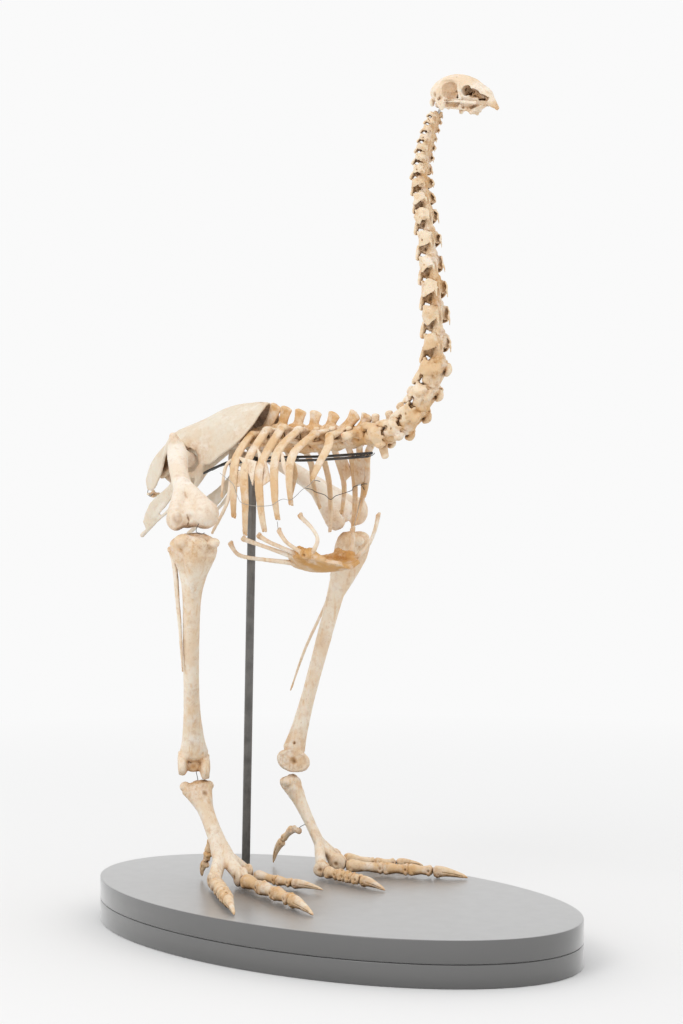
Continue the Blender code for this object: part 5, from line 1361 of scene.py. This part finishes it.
def build_ribs():
    """Both sides' ribs, the loose hind ribs and the overlapping plates."""
    centres = [middle for _, middle, _ in back_bone_centres()]
    for side, word in ((-1, "right"), (1, "left")):
        for number, rib in enumerate(RIBS[side]):
            build_rib(f"rib_{word}_{number + 1}", side, centres[rib[0]], rib, 70 + number + 10 * side)
        for number, corners in enumerate(PLATES[side]):
            a, b, c, d = [sided(corner, side) for corner in corners]
            bm = bmesh.new()
            add_sheet(bm, ((a, a.lerp(b, 0.5), b), (a.lerp(d, 0.5), (a + b + c + d) / 4, b.lerp(c, 0.5)),
                           (d, d.lerp(c, 0.5), c)), 0.0036, 3)
            bone(f"rib_plate_{word}_{number + 1}", bm, (f"rib_cage_{word}",), long_bone(), coarse=0.85,
                 seed=95 + number + 3 * side, ends=[((a + b + c + d) / 4, 0.012)], crumble=1.2)
    bm = bmesh.new()
    add_limb(bm, [sided(p, -1) for p in HOOK_PLATE], (0.006, 0.0058, 0.004), (0.0022, 0.002, 0.0018),
             up=(0, 1, 0))
    bone("rib_plate_right_hook", bm, ("rib_cage_right",), long_bone(), coarse=0.85, seed=101)
    root = centres[-1] + Vector((-0.004, -0.034, 0.012))
    for name, path, half in (("rib_right_hind", HIND_RIB_RIGHT, 0.0036),
                             ("rib_right_loose", LOOSE_HIND_RIB, 0.0042)):
        points = [root] + [sided(p, -1) for p in path]
        bm = bmesh.new()
        add_limb(bm, points, (half * 0.8, half * 0.9, half, half * 0.7), (0.0024,) * 4, up=(0, -1, 0.35),
                 per_span=8)
        bone(name, bm, ("rib_cage_right",), long_bone(), coarse=0.85, seed=103, ends=[(points[-1], 0.01)])


# ---- hips, tail, breastbone
def build_pelvis():
    """The fused hip bones: thin roof, backbone, hip sockets, ischium blades and pubis rods."""
    bm = bmesh.new()
    add_limb(bm, [(x, 0.0, z) for x, z in SYNSACRUM], (0.0135, 0.0125, 0.011, 0.006),
             (0.0125, 0.0115, 0.010, 0.006), sides=20)
    spine = Line(SYNSACRUM)
    web = []
    for crest, _, _ in ILIUM_ROOF[1:8]:
        x, _, top = crest
        x = min(x, WEB_FRONT)
        foot = min(spine.spots, key=lambda spot: abs(spot.x - x))
        web.append(((x, 0.0, foot.z), (x, 0.0, top - 0.003)))
    add_sheet(bm, web, 0.005)
    tools = []
    for side in (-1, 1):
        roof = [[(p[0], max(p[1], 0.0005) * side, p[2]) for p in station] for station in ILIUM_ROOF]
        add_sheet(bm, roof, 0.0046)
        hub = sided(HIP_SOCKET, side)
        inward = Vector((0, -0.004 * side, 0))
        ring = [hub + Vector((math.cos(t), 0, math.sin(t))) * (SOCKET_HOLE + SOCKET_RIM) + inward
                for t in angles(SOCKET_STEPS)]
        for spot, following in zip(ring, ring[1:] + ring[:1]):
            add_limb(bm, (spot, following), (SOCKET_RIM, SOCKET_RIM), (0.004, 0.004), up=(0, 1, 0),
                     sides=10, per_span=1)
        place, radii = SOCKET_HEEL
        add_knob(bm, hub + sided(place, side), radii)
        add_limb(bm, [sided(p, side) for p in PUBIC_PEG], *PUBIC_PEG_SIZE, up=(0, 1, 0))
        add_sheet(bm, [[sided(p, side) for p in pair] for pair in ISCHIUM], 0.0044)
        add_limb(bm, [sided(p, side) for p in PUBIS], (0.005, 0.0036, 0.0034, 0.0046),
                 (0.004, 0.003, 0.0028, 0.0036), up=(0, 1, 0))
        for x, reach, rise in HIP_STRUTS:
            add_limb(bm, ((x, 0.004 * side, 0.815), (x, reach * side, rise)), (0.0055, 0.0055),
                     (0.003, 0.003))
        tool = bmesh.new()
        reach = Vector((0.0, 0.030 * side, 0.0))
        add_limb(tool, (hub - reach, hub, hub + reach), (SOCKET_HOLE,) * 3, (SOCKET_HOLE,) * 3, sides=32,
                 per_span=1)
        tools.append(tool)
    pits = []
    for side in (-1, 1):
        pits += [((-0.196, 0.012 * side, 0.880), 0.002, 0.0014),
                 ((-0.216, 0.014 * side, 0.879), 0.0018, 0.0014),
                 ((-0.236, 0.013 * side, 0.878), 0.0018, 0.0012)]
    cracks = [(((-0.186, 0.004 * side, 0.888), (-0.222, 0.007 * side, 0.884),
                (-0.262, 0.008 * side, 0.877)), 0.001)
              for side in (-1, 1)]
    ends = [(sided(HIP_SOCKET, side), 0.030) for side in (-1, 1)]
    ends += [((-0.445, 0, 0.755), 0.03), ((-0.175, 0, 0.88), 0.014)]
    bone("hip_bone", bm, ("pelvis",), hip_bone(), coarse=1.25, seed=120, cutters=tools, pits=pits,
         cracks=cracks, ends=ends, crumble=1.6)


def build_tail():
    """The one small tail bone that hangs behind the hips."""
    bm = bmesh.new()
    x, y, z = TAIL_BONE
    add_knob(bm, TAIL_BONE, (0.0072, 0.0078, 0.0062))
    add_limb(bm, ((x, -0.0135, z + 0.001), (x, 0.0135, z + 0.001)), (0.0033, 0.0033), (0.0026, 0.0026))
    add_knob(bm, (x - 0.001, y, z + 0.006), (0.0045, 0.0026, 0.0038))
    bone("tail_bone", bm, ("tail",), spine_bone(), coarse=0.6, seed=131,
         pits=[((x + 0.006, -0.004, z), 0.003, 0.002)], ends=[(TAIL_BONE, 0.01)])


def build_sternum():
    """The shallow breastbone, and the thin ribs that are fixed to its edges."""
    rows = []
    for x, half, near, middle, far in STERNUM_STATIONS:
        rows.append([(x, -half, near), (x, -half / 2, (near + 3 * middle) / 4), (x, 0.0, middle),
                     (x, half / 2, (far + 3 * middle) / 4), (x, half, far)])
    bm = bmesh.new()
    add_sheet(bm, rows, 0.007)
    for side in (-1, 1):
        drop = 0.0 if side < 0 else 0.007
        add_limb(bm, ((-0.014, 0.041 * side, 0.625 - drop), (-0.048, 0.050 * side, 0.635 - drop),
                      (-0.092, 0.036 * side, 0.626 - drop)), (0.005, 0.009, 0.005), (0.005, 0.009, 0.005))
        add_knob(bm, (-0.036, 0.050 * side, 0.636 - drop), (0.012, 0.007, 0.009))
        add_knob(bm, (-0.060, 0.049 * side, 0.638 - drop), (0.011, 0.006, 0.010))
        add_knob(bm, (-0.080, 0.042 * side, 0.630 - drop), (0.008, 0.006, 0.007))
    ends = [((-0.050, -0.053, 0.638), 0.026), ((-0.050, 0.053, 0.638), 0.026), ((0.010, 0, 0.62), 0.02)]
    pits = [((-0.044, -0.058, 0.632), 0.005, 0.003), ((-0.068, -0.056, 0.634), 0.004, 0.003),
            ((-0.028, -0.056, 0.628), 0.0042, 0.003), ((-0.080, -0.052, 0.628), 0.004, 0.003),
            ((-0.055, -0.060, 0.640), 0.0036, 0.0026)]
    bone("breast_bone", bm, ("sternum",), ochre_bone(), coarse=0.85, seed=141, ends=ends,
         pits=pits, crumble=4.5, rounds=1)
    for number, path in enumerate(STERNAL_RODS):
        bm = bmesh.new()
        last = len(path) - 1
        size = [0.0042] + [0.0033] * (last - 1) + [0.0042]
        add_limb(bm, path, [w * 1.12 for w in size], [w * 0.92 for w in size], up=(0.2, 1, 0.1), per_span=6)
        tip = Vector(path[-1])
        add_knob(bm, tip, (0.0048, 0.004, 0.0036))
        add_knob(bm, tip + Vector((0.002, 0.0, 0.0035)), (0.003, 0.0036, 0.0028))
        bone(f"breast_rib_{number + 1}", bm, ("sternum",), long_bone(), coarse=0.75, seed=145 + number,
             ends=[(tip, 0.009), (path[0], 0.012)], pits=[(tip, 0.0022, 0.0016)], crumble=1.8)


# ---- legs
def build_femur(word, leg):
    """Thigh bone: ball, crest, shaft and two knuckles with a groove between them."""
    side = leg["side"]
    head, crest, knee = sided(leg["head"], side), sided(leg["trochanter"], side), sided(leg["knee"], side)
    along = heading(leg["thigh_turn"])
    lift = Vector((0, 0, 1))
    out = lift.cross(along) * side
    turn = Matrix((along, out, lift)).transposed()
    bow = lift * leg["thigh_lift"]
    bm = bmesh.new()
    add_knob(bm, head, (0.0142, 0.014, 0.0142))
    root = crest + Vector((0.006, -0.004 * side, -0.030))
    add_limb(bm, (head, head.lerp(root, 0.5), root), (0.0105, 0.0115, 0.0145), (0.0115, 0.0125, 0.0195))
    shaft = (root + bow * 0.3, root.lerp(knee, 0.30) + Vector((-0.004, 0, -0.002)) + bow * 0.8,
             root.lerp(knee, 0.62) + bow, knee + lift * 0.004)
    add_limb(bm, (crest, *shaft), (0.0065, 0.0175, 0.016, 0.018, 0.030),
             (0.0055, 0.0145, 0.0145, 0.016, 0.0205), up=along + lift * 0.6, sides=20)
    pits, ends = [], [(crest, 0.016), (head, 0.014)]
    for place, radii in leg["knuckles"]:
        centre = knee + turn @ Vector(place)
        add_knob(bm, centre, tuple(r - 0.0004 for r in radii), turn)
        add_limb(bm, (knee.lerp(crest, 0.42) + along * 0.003, centre), (0.013, radii[0] * 0.92),
                 (0.012, radii[1] * 0.95), up=out, sides=20)
        ends.append((centre, 0.024))
    pits += [(knee + along * 0.024 + lift * 0.003, 0.0125, 0.005),
             (knee - along * 0.020 + lift * 0.004, 0.012, 0.004),
             (knee + along * 0.022 - lift * 0.014 - out * 0.016, 0.007, 0.0026)]
    cracks = []
    for step in range(-5, 6):
        cracks.append(([sided(place, side) + along * 0.003 * step for place in leg["knee_crack"]], 0.0027))
    pits += [(sided(place, side), radius, 0.0011) for place, radius in leg["knee_hollows"]]
    bone(f"thigh_bone_{word}", bm, (f"femur_{word}",), plain_bone(), coarse=1.15, seed=150 + side,
         pits=pits, cracks=cracks, ends=ends, crumble=2.6, rounds=10)


def build_tibiotarsus(word, leg):
    """Shin bone: broad crested head, long shaft and two wheels at the ankle, with its splint bone."""
    side = leg["side"]
    top, ankle = sided(leg["tibia_top"], side), sided(leg["ankle"], side)
    along = heading(leg["knee_turn"])
    lift = Vector((0, 0, 1))
    out = lift.cross(along) * side
    down = (ankle - top).normalized()
    bow = sided(leg["shin_bow"], side)
    bm = bmesh.new()
    points = [top.lerp(ankle, share) + bow * bent for share, bent in zip(SHIN_STATIONS, SHIN_BOW_STATIONS)]
    add_limb(bm, points, (0.0385, 0.0375, 0.0232, 0.0155, 0.014, 0.0137, 0.018, 0.025),
             (0.023, 0.023, 0.019, 0.0149, 0.0131, 0.0123, 0.0152, 0.0195), up=along, sides=24, per_span=5)
    peak = top + along * 0.031
    add_limb(bm, (peak - along * 0.010 + lift * 0.002, peak - along * 0.008 + down * 0.030,
                  top + along * 0.010 + down * 0.095), (0.023, 0.017, 0.009), (0.015, 0.014, 0.007),
             up=along)
    for way, drop in ((-0.5, 0.004), (0.45, 0.010)):
        high = top + out * 0.036 * way + along * 0.018 + down * drop
        low = top + out * 0.018 * way + along * 0.014 + down * 0.070
        add_limb(bm, (high, low), (0.006, 0.004), (0.0075, 0.005), up=along)
    for way, reach in ((1, 0.024), (-1, 0.022)):
        rest = top + out * reach * way
        add_knob(bm, rest - along * 0.004 + down * 0.002, (0.0165, 0.0165, 0.012))
        low = top + out * 0.6 * reach * way + along * 0.010 + down * 0.055
        add_limb(bm, (rest + along * 0.010 + down * 0.006, low), (0.007, 0.0045), (0.0085, 0.005), up=along)
    add_knob(bm, top + along * 0.018 + out * 0.016 + lift * 0.004, (0.016, 0.019, 0.013))
    add_knob(bm, top + along * 0.014 - out * 0.031 + lift * 0.001, (0.012, 0.0105, 0.009))
    level = (along + down * -along.dot(down)).normalized()
    turn = Matrix((level, level.cross(down) * side, -down)).transposed()
    pits, ends = [], [(ankle, 0.036), (top, 0.042), (peak, 0.020)]
    for place, radii in leg["wheels"]:
        centre = ankle + turn @ Vector(place)
        add_knob(bm, centre, tuple(r - 0.0003 for r in radii), turn)
        outward = turn @ Vector((0.0, math.copysign(1.0, place[1]), 0.0))
        rim = []
        for k in range(RIM_STEPS + 1):
            t = 2 * math.pi * k / RIM_STEPS
            spot = Vector((math.cos(t) * radii[0] * 0.80, 0.0, math.sin(t) * radii[2] * 0.80))
            rim.append(centre + outward * radii[1] * 0.55 + turn @ spot)
        add_limb(bm, rim, (0.003,) * len(rim), (0.0026,) * len(rim), up=outward, sides=8, per_span=1)
        pits.append((centre + outward * radii[1] * 0.9, 0.009, 0.003))
    add_knob(bm, ankle, (0.0165, 0.0175, 0.0135), turn)
    front = ankle + along * 0.014
    pits += [(front + lift * 0.012 + out * 0.012, 0.004, 0.003),
             (ankle + along * 0.020 - lift * 0.004, 0.009, 0.004),
             (top + along * 0.020 - out * 0.010 - lift * 0.012, 0.010, 0.0022)]
    pits += [(sided(place, side), radius, radius * 0.8) for place, radius in leg["shin_holes"]]
    bone(f"shin_bone_{word}", bm, (f"tibiotarsus_{word}",), long_bone(), coarse=1.15, seed=160 + side,
         pits=pits, ends=ends, crumble=2.8, rounds=9)
    bm = bmesh.new()
    path = [sided(p, side) for p in leg["fibula"]]
    add_limb(bm, path, (0.0064, 0.0046, 0.0038, 0.0032, 0.0015), (0.0044, 0.0036, 0.003, 0.0026, 0.0015),
             sides=12)
    add_knob(bm, path[0], (0.0072, 0.0056, 0.006))
    bone(f"splint_bone_{word}", bm, (f"fibula_{word}",), long_bone(), coarse=0.65,
         seed=165 + side, ends=[(path[0], 0.012), (path[-1], 0.02)], pits=[(path[0], 0.003, 0.002)])


def build_tarsometatarsus(word, leg):
    """Foot bone: cupped head, flat shaft and three grooved rollers for the toes."""
    side = leg["side"]
    top, foot = sided(leg["tarsus_top"], side), sided(leg["tarsus_foot"], side)
    along = heading(leg["foot_turn"])
    lift = Vector((0, 0, 1))
    across = lift.cross(along)
    down = (foot - top).normalized()
    bm = bmesh.new()
    add_limb(bm, [top.lerp(foot, share) for share in FOOT_STATIONS],
             (0.028, 0.0215, 0.014, 0.014, 0.019, 0.0225),
             (0.0168, 0.0152, 0.0112, 0.009, 0.0092, 0.0086), up=along, sides=24, per_span=5)
    add_limb(bm, (top - along * 0.012 + down * 0.003, top - along * 0.013 + down * 0.026), (0.011, 0.006),
             (0.0085, 0.005), up=along)
    for way in (-1, 1):
        add_knob(bm, top + across * 0.0205 * way + down * 0.002, (0.010, 0.0092, 0.0088))
    turn = Matrix((along, across, lift)).transposed()
    add_knob(bm, top + down * 0.003, (0.0168, 0.0272, 0.0078), turn)
    add_knob(bm, top + along * 0.004 - down * 0.002, (0.009, 0.007, 0.007))
    pits = [(top - down * 0.010 + across * 0.012, 0.010, 0.003),
            (top - down * 0.010 - across * 0.012, 0.010, 0.003),
            (top + along * 0.015 + down * 0.014 + across * 0.006, 0.008, 0.0018)]
    pits += [(sided(place, side), radius, radius * 0.9) for place, radius in leg["foot_holes"]]
    reach = top.lerp(foot, 0.82)
    for place, radius in zip(leg["trochleae"], ROLLER_RADII):
        roller = sided(place, side)
        add_limb(bm, (reach, reach.lerp(roller, 0.6), roller), (0.011, 0.0122, 0.010),
                 (0.0082, 0.0092, 0.0105), up=along)
        for way in (-1, 1):
            add_knob(bm, roller + across * 0.006 * way, (radius, 0.0058, radius), turn)
            pits.append((roller + across * 0.012 * way, 0.006, 0.0016))
        add_knob(bm, roller, (radius * 0.84, 0.008, radius * 0.84), turn)
    ends = [(top, 0.030)] + [(sided(place, side), 0.016) for place in leg["trochleae"]]
    bone(f"foot_bone_{word}", bm, (f"tarsometatarsus_{word}",), long_bone(), coarse=1.05, seed=170 + side,
         pits=pits, ends=ends, crumble=2.8, rounds=6)


def build_phalanx(name, node, a, b, size_a, size_b, seed):
    """One toe bone: cupped back end, shallow waist and a grooved double knuckle in front."""
    ahead = (b - a).normalized()
    across = Vector((0, 0, 1)).cross(ahead).normalized()
    lift = ahead.cross(across)
    a = a + ahead * 0.001
    b = b - ahead * 0.0008
    half = (size_a + size_b) / 2
    bm = bmesh.new()
    add_limb(bm, (a + ahead * 0.001, a.lerp(b, 0.20), a.lerp(b, 0.52), a.lerp(b, 0.82),
                  b - ahead * size_b * 0.30),
             (size_a * 0.92, size_a * 0.88, half * 0.70, size_b * 0.82, size_b * 0.78),
             (size_a * 0.90, size_a * 0.84, half * 0.66, size_b * 0.78, size_b * 0.76), sides=18)
    for way in (-1, 1):
        add_knob(bm, a + ahead * size_a * 0.30 + across * size_a * 0.44 * way - lift * size_a * 0.42,
                 (size_a * 0.48, size_a * 0.48, size_a * 0.44))
        add_knob(bm, b - ahead * size_b * 0.42 + across * size_b * 0.46 * way,
                 (size_b * 0.52, size_b * 0.46, size_b * 0.86))
    pits = [(b - ahead * size_b * 0.45 + across * size_b * 0.92 * way, size_b * 0.34, 0.0022)
            for way in (-1, 1)]
    pits += [(b - ahead * size_b * 0.1, size_b * 0.34, 0.0018),
             (b - ahead * size_b * 1.2 + lift * size_b * 0.8, size_b * 0.34, 0.0014)]
    bone(name, bm, (node,), toe_bone(), coarse=0.68, seed=seed, pits=pits,
         ends=[(a, size_a), (b, size_b)], crumble=1.6)


def build_claw(name, node, start, tip, radius, seed, ground=None, bend=Vector((0, 0, 0))):
    """A stout curved claw core with a socketed back end and side grooves; flat below where it rests."""
    ahead = (tip - start).normalized()
    across = Vector((0, 0, 1)).cross(ahead).normalized()
    lift = ahead.cross(across)
    spots = []
    for share, deep, arch in zip(CLAW_STATIONS, CLAW_DEPTHS, CLAW_ARCH):
        spot = start.lerp(tip, share) + bend * math.sin(math.pi * share)
        if ground is not None:
            low = ground * (1 - share) + (tip.z - CLAW_TIP * radius) * share
            spot.z = low + radius * (deep + arch)
        spots.append(spot)
    spots[0] = spots[0] + ahead * (0.0012 + radius * 0.5)
    spots.append(tip - ahead * radius * CLAW_TIP)
    bm = bmesh.new()
    add_limb(bm, spots, [radius * w for w in (*CLAW_WIDTHS, CLAW_TIP)],
             [radius * d for d in (*CLAW_DEPTHS, CLAW_TIP)], sides=20, per_span=6)
    add_knob(bm, spots[0] - lift * radius * 0.52 + ahead * radius * 0.35,
             (radius * 0.50, radius * 0.52, radius * 0.40))
    cracks = [([spot + across * radius * wide * 0.96 * way
                for spot, wide in zip(spots[1:], CLAW_WIDTHS[1:])], 0.0012)
              for way in (-1, 1)]
    pits = [(spots[0] - ahead * radius * 0.4, radius * 0.55, 0.0016)]
    for way in (-1, 1):
        spot = spots[0] + across * radius * 0.75 * way - lift * radius * 0.3 + ahead * radius * 0.5
        pits.append((spot, 0.0022, 0.002))
    bone(name, bm, (node,), toe_bone(), coarse=0.62, seed=seed, cracks=cracks, pits=pits,
         ends=[(spots[0], radius), (tip, radius * 0.6)], crumble=1.2)


def build_toe(word, side, number, start, tip, shares, radius):
    """One toe as separate bones in a row, with its claw."""
    level = STANDING_LEVEL + TOE_GAP
    start = Vector((start[0], start[1] * side, level + start[2]))
    tip = Vector((tip[0], tip[1] * side, level + tip[2]))
    far, count = 0.0, len(shares)
    joints = []
    for k in range(count):
        spot = start.lerp(tip, far)
        size = radius * (1.0 - TOE_TAPER * k / (count - 1))
        lift = size + 0.001
        spot.z = level + (max(lift, start.z - level) if k == 0 else lift)
        joints.append((spot, size))
        far += shares[k]
    node = f"toe_{number}_{word}"
    for k, ((a, size_a), (b, size_b)) in enumerate(zip(joints, joints[1:])):
        build_phalanx(f"{node}_bone_{k + 1}", node, a, b, size_a, size_b, 200 + 20 * number + k + side)
    base, size = joints[-1]
    build_claw(f"{node}_claw", node, base, tip, size, 210 + 20 * number + side, ground=base.z - size)


def build_hallux(word, leg):
    """The small hind toe: its own short foot bone, one toe bone and a claw."""
    side = leg["side"]
    node = f"toe_1_{word}"
    stub, knuckle, joint, tip = [sided(p, side) for p in leg["hallux"]]
    bm = bmesh.new()
    add_limb(bm, (stub, stub.lerp(knuckle, 0.5), knuckle + (stub - knuckle) * 0.18),
             (0.0042, 0.0056, 0.0072), (0.0038, 0.005, 0.0066), up=(0, 1, 0))
    add_knob(bm, stub, (0.0052, 0.0046, 0.0056))
    bone(f"{node}_stub", bm, (node,), toe_bone(), coarse=0.62, seed=290 + side,
         ends=[(stub, 0.008)], pits=[(stub, 0.003, 0.002)], crumble=1.8)
    build_phalanx(f"{node}_bone_1", node, knuckle, joint, 0.0086, 0.0078, 292 + side)
    build_claw(f"{node}_claw", node, joint, tip, 0.0082, 295 + side, bend=Vector((-0.004, 0, 0)))


# ---- operators
class MOA_OT_plinth(bpy.types.Operator):
    """Builds the two painted boards of the plinth"""

    bl_idname = "moa.plinth"
    bl_label = "Plinth"

    def execute(self, context):
        for node in ("base_lower", "base_upper"):
            low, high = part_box(node)
            oval_board(f"plinth_{node[5:]}", node, low[2], high[2])
        return {"FINISHED"}


class MOA_OT_rods(bpy.types.Operator):
    """Builds the post, the two bars and the rod that carries the skull"""

    bl_idname = "moa.rods"
    bl_label = "Post and bars"

    def execute(self, context):
        sizes, finish = context.scene.moa_sizes, context.scene.moa_finish
        post_paint = metal("post_paint", finish.post, 0.30, 0.0)
        steel = dark_steel()
        straight_cylinder("post", ("mount_post",), POST_FOOT, POST_TOP, POST_RADIUS, post_paint)
        for word, side in (("right", -1), ("left", 1)):
            drop = BAR_DROP if side < 0 else 0.0
            line = [(x, side * BAR_SPREAD, z - drop) for x, z in BAR_LINE]
            rod(f"bar_{word}", (f"mount_bar_{word}",), line, sizes.bar_radius, steel)
        bright = metal("bright_rod", finish.tin, 0.30)
        rod("neck_rod", ("mount_neck_rod",), NECK_ROD, sizes.rod_radius, bright)
        return {"FINISHED"}


class MOA_OT_skull(bpy.types.Operator):
    """Builds the skull"""

    bl_idname = "moa.skull"
    bl_label = "Skull"

    def execute(self, context):
        build_skull()
        return {"FINISHED"}


class MOA_OT_neck(bpy.types.Operator):
    """Builds the neck bones"""

    bl_idname = "moa.neck"
    bl_label = "Neck"

    def execute(self, context):
        build_neck()
        return {"FINISHED"}


class MOA_OT_chest(bpy.types.Operator):
    """Builds the back bones and the ribs"""

    bl_idname = "moa.chest"
    bl_label = "Back and ribs"

    def execute(self, context):
        for number, (start, middle, end) in enumerate(back_bone_centres()):
            build_back_bone(number, start, middle, end)
        build_ribs()
        return {"FINISHED"}


class MOA_OT_hips(bpy.types.Operator):
    """Builds the hip bones and the tail bone"""

    bl_idname = "moa.hips"
    bl_label = "Hips and tail"

    def execute(self, context):
        build_pelvis()
        build_tail()
        return {"FINISHED"}


class MOA_OT_sternum(bpy.types.Operator):
    """Builds the breastbone and the wires that hold it"""

    bl_idname = "moa.sternum"
    bl_label = "Breastbone"

    def execute(self, context):
        build_sternum()
        radius = context.scene.moa_sizes.wire_radius
        for word, path in HANGERS.items():
            rod(f"hanger_{word}", (f"mount_wire_{word}",), path, radius, tinned_wire(),
                sides=8, per_span=2)
        return {"FINISHED"}


class MOA_OT_wires(bpy.types.Operator):
    """Builds the fine wires that tie loose bones, and the windings and clamp on the bars"""

    bl_idname = "moa.wires"
    bl_label = "Tie wires"

    def execute(self, context):
        radius = context.scene.moa_sizes.wire_radius
        for name, (tone, path) in TIE_WIRES.items():
            bright = tone == "bright"
            wire = tinned_wire() if bright else dark_wire()
            thickness = radius * (1.0 if bright else 1.2)
            rod(f"wire_{name}", (), path, thickness, wire, sides=8, up=(0.2, 0.3, 1.0))
        for name, x, run, turns in BINDINGS:
            build_binding(f"binding_{name}", x, run, turns)
        build_clamp()
        return {"FINISHED"}


class MOA_OT_legs(bpy.types.Operator):
    """Builds both legs down to the foot bones"""

    bl_idname = "moa.legs"
    bl_label = "Legs"

    def execute(self, context):
        for word, leg in LEGS.items():
            build_femur(word, leg)
            build_tibiotarsus(word, leg)
            build_tarsometatarsus(word, leg)
        return {"FINISHED"}


class MOA_OT_toes(bpy.types.Operator):
    """Builds the toes of both feet"""

    bl_idname = "moa.toes"
    bl_label = "Toes"

    def execute(self, context):
        for word, leg in LEGS.items():
            build_hallux(word, leg)
            for number, start, tip, shares, radius in TOES[word]:
                build_toe(word, leg["side"], number, start, tip, shares, radius)
        return {"FINISHED"}


class MOA_OT_stage(bpy.types.Operator):
    """Sets the floor, the lights, the world and the camera"""

    bl_idname = "moa.stage"
    bl_label = "Stage"

    def execute(self, context):
        scene = context.scene
        build_floor(scene)
        build_lights(scene)
        build_camera(scene)
        return {"FINISHED"}


# ---- stage
STUDIO_WHITE = 0.955
FLOOR_RADIUS = 14.0
FLOOR_SINK = 0.0005
FLOOR_FADE = (0.9, 3.2)
# Lights: the name, place, width and power.
LIGHTS = (("key", (0.2, -3.2, 3.2), 1.8, 26.0), ("top", (-0.6, 0.4, 3.6), 2.4, 8.0))
LIT_SPOT = (-0.1, 0.0, 0.7)


def build_floor(scene):
    """A wide pale floor that fades into the white of the studio."""
    bm = bmesh.new()
    bmesh.ops.create_circle(bm, cap_ends=True, segments=96, radius=FLOOR_RADIUS)
    floor = new_piece("studio_floor", bm)
    floor.location.z = -FLOOR_SINK
    paint = Paint("studio_floor")
    glow = paint.tree.nodes.new("ShaderNodeEmission")
    glow.inputs["Color"].default_value = (STUDIO_WHITE, STUDIO_WHITE, STUDIO_WHITE, 1.0)
    length = paint.tree.nodes.new("ShaderNodeVectorMath")
    length.operation = "LENGTH"
    paint.link(paint.where, length.inputs[0])
    fade = paint.tree.nodes.new("ShaderNodeMixShader")
    paint.link(paint.ramp(length.outputs["Value"], *FLOOR_FADE), fade.inputs[0])
    paint.link(paint.shader.outputs[0], fade.inputs[1])
    paint.link(glow.outputs[0], fade.inputs[2])
    paint.link(fade.outputs[0], paint.tree.nodes["Material Output"].inputs["Surface"])
    tone = (*scene.moa_finish.floor, 1.0)
    paint.settle({"Base Color": tone, "Roughness": 0.9, "Specular IOR Level": 0.0})
    floor.data.materials.append(paint.material)


def build_lights(scene):
    """Even white light all round, a soft key from the camera's upper left and a weaker light above."""
    world = bpy.data.worlds.new("studio")
    world.use_nodes = True
    glow = world.node_tree.nodes["Background"]
    glow.inputs["Color"].default_value = (1.0, 1.0, 1.0, 1.0)
    glow.inputs["Strength"].default_value = STUDIO_WHITE
    scene.world = world
    for name, place, size, power in LIGHTS:
        data = bpy.data.lights.new(name, "AREA")
        data.shape = "DISK"
        data.size = size
        data.energy = power
        light = bpy.data.objects.new(name, data)
        light.location = place
        aim = Vector(LIT_SPOT) - Vector(place)
        light.rotation_euler = aim.to_track_quat("-Z", "Y").to_euler()
        scene.collection.objects.link(light)


def build_camera(scene):
    """The camera, level with the bird's back, ahead of it and to its right."""
    ahead = Vector((-math.sin(CAMERA_TURN), math.cos(CAMERA_TURN), 0.0))
    right = Vector((math.cos(CAMERA_TURN), math.sin(CAMERA_TURN), 0.0))
    place = right * CAMERA_SIDE - ahead * CAMERA_DISTANCE + Vector((0, 0, CAMERA_HEIGHT))
    look = ahead * math.cos(CAMERA_DOWN) - Vector((0, 0, math.sin(CAMERA_DOWN)))
    data = bpy.data.cameras.new("camera")
    data.sensor_fit = "VERTICAL"
    data.sensor_height = SENSOR_HEIGHT_MM
    data.lens = FOCAL_PIXELS / FRAME_HEIGHT_PIXELS * SENSOR_HEIGHT_MM
    camera = bpy.data.objects.new("camera", data)
    turned = Matrix((right, right.cross(look), -look)).transposed().to_4x4()
    turned.translation = place
    camera.matrix_world = turned
    scene.collection.objects.link(camera)
    scene.camera = camera
    scene.view_settings.view_transform = "Standard"


# ---- panel and registration
STEPS = (
    MOA_OT_plinth, MOA_OT_rods, MOA_OT_skull, MOA_OT_neck, MOA_OT_chest, MOA_OT_hips, MOA_OT_sternum,
    MOA_OT_wires, MOA_OT_legs, MOA_OT_toes, MOA_OT_stage,
)


class MOA_PT_panel(bpy.types.Panel):
    """Lists the building steps and their settings"""

    bl_idname = "MOA_PT_panel"
    bl_label = "Mounted moa skeleton"
    bl_space_type = "VIEW_3D"
    bl_region_type = "UI"
    bl_category = "Moa"

    def draw(self, context):
        for group in (context.scene.moa_sizes, context.scene.moa_finish):
            box = self.layout.box()
            for name in group.bl_rna.properties.keys():
                if name not in ("rna_type", "name"):
                    box.prop(group, name)
        for step in STEPS:
            self.layout.operator(step.bl_idname)


CLASSES = (MoaSizes, MoaFinish, *STEPS, MOA_PT_panel)


def register():
    """Registers the classes and their settings."""
    for item in CLASSES:
        bpy.utils.register_class(item)
    bpy.types.Scene.moa_sizes = PointerProperty(type=MoaSizes)
    bpy.types.Scene.moa_finish = PointerProperty(type=MoaFinish)


def unregister():
    """Removes the settings and the classes."""
    del bpy.types.Scene.moa_sizes
    del bpy.types.Scene.moa_finish
    for item in reversed(CLASSES):
        bpy.utils.unregister_class(item)


def main():
    """Builds the whole model."""
    register()
    for step in STEPS:
        area, name = step.bl_idname.split(".")
        getattr(getattr(bpy.ops, area), name)()


if __name__ == "__main__":
    main()
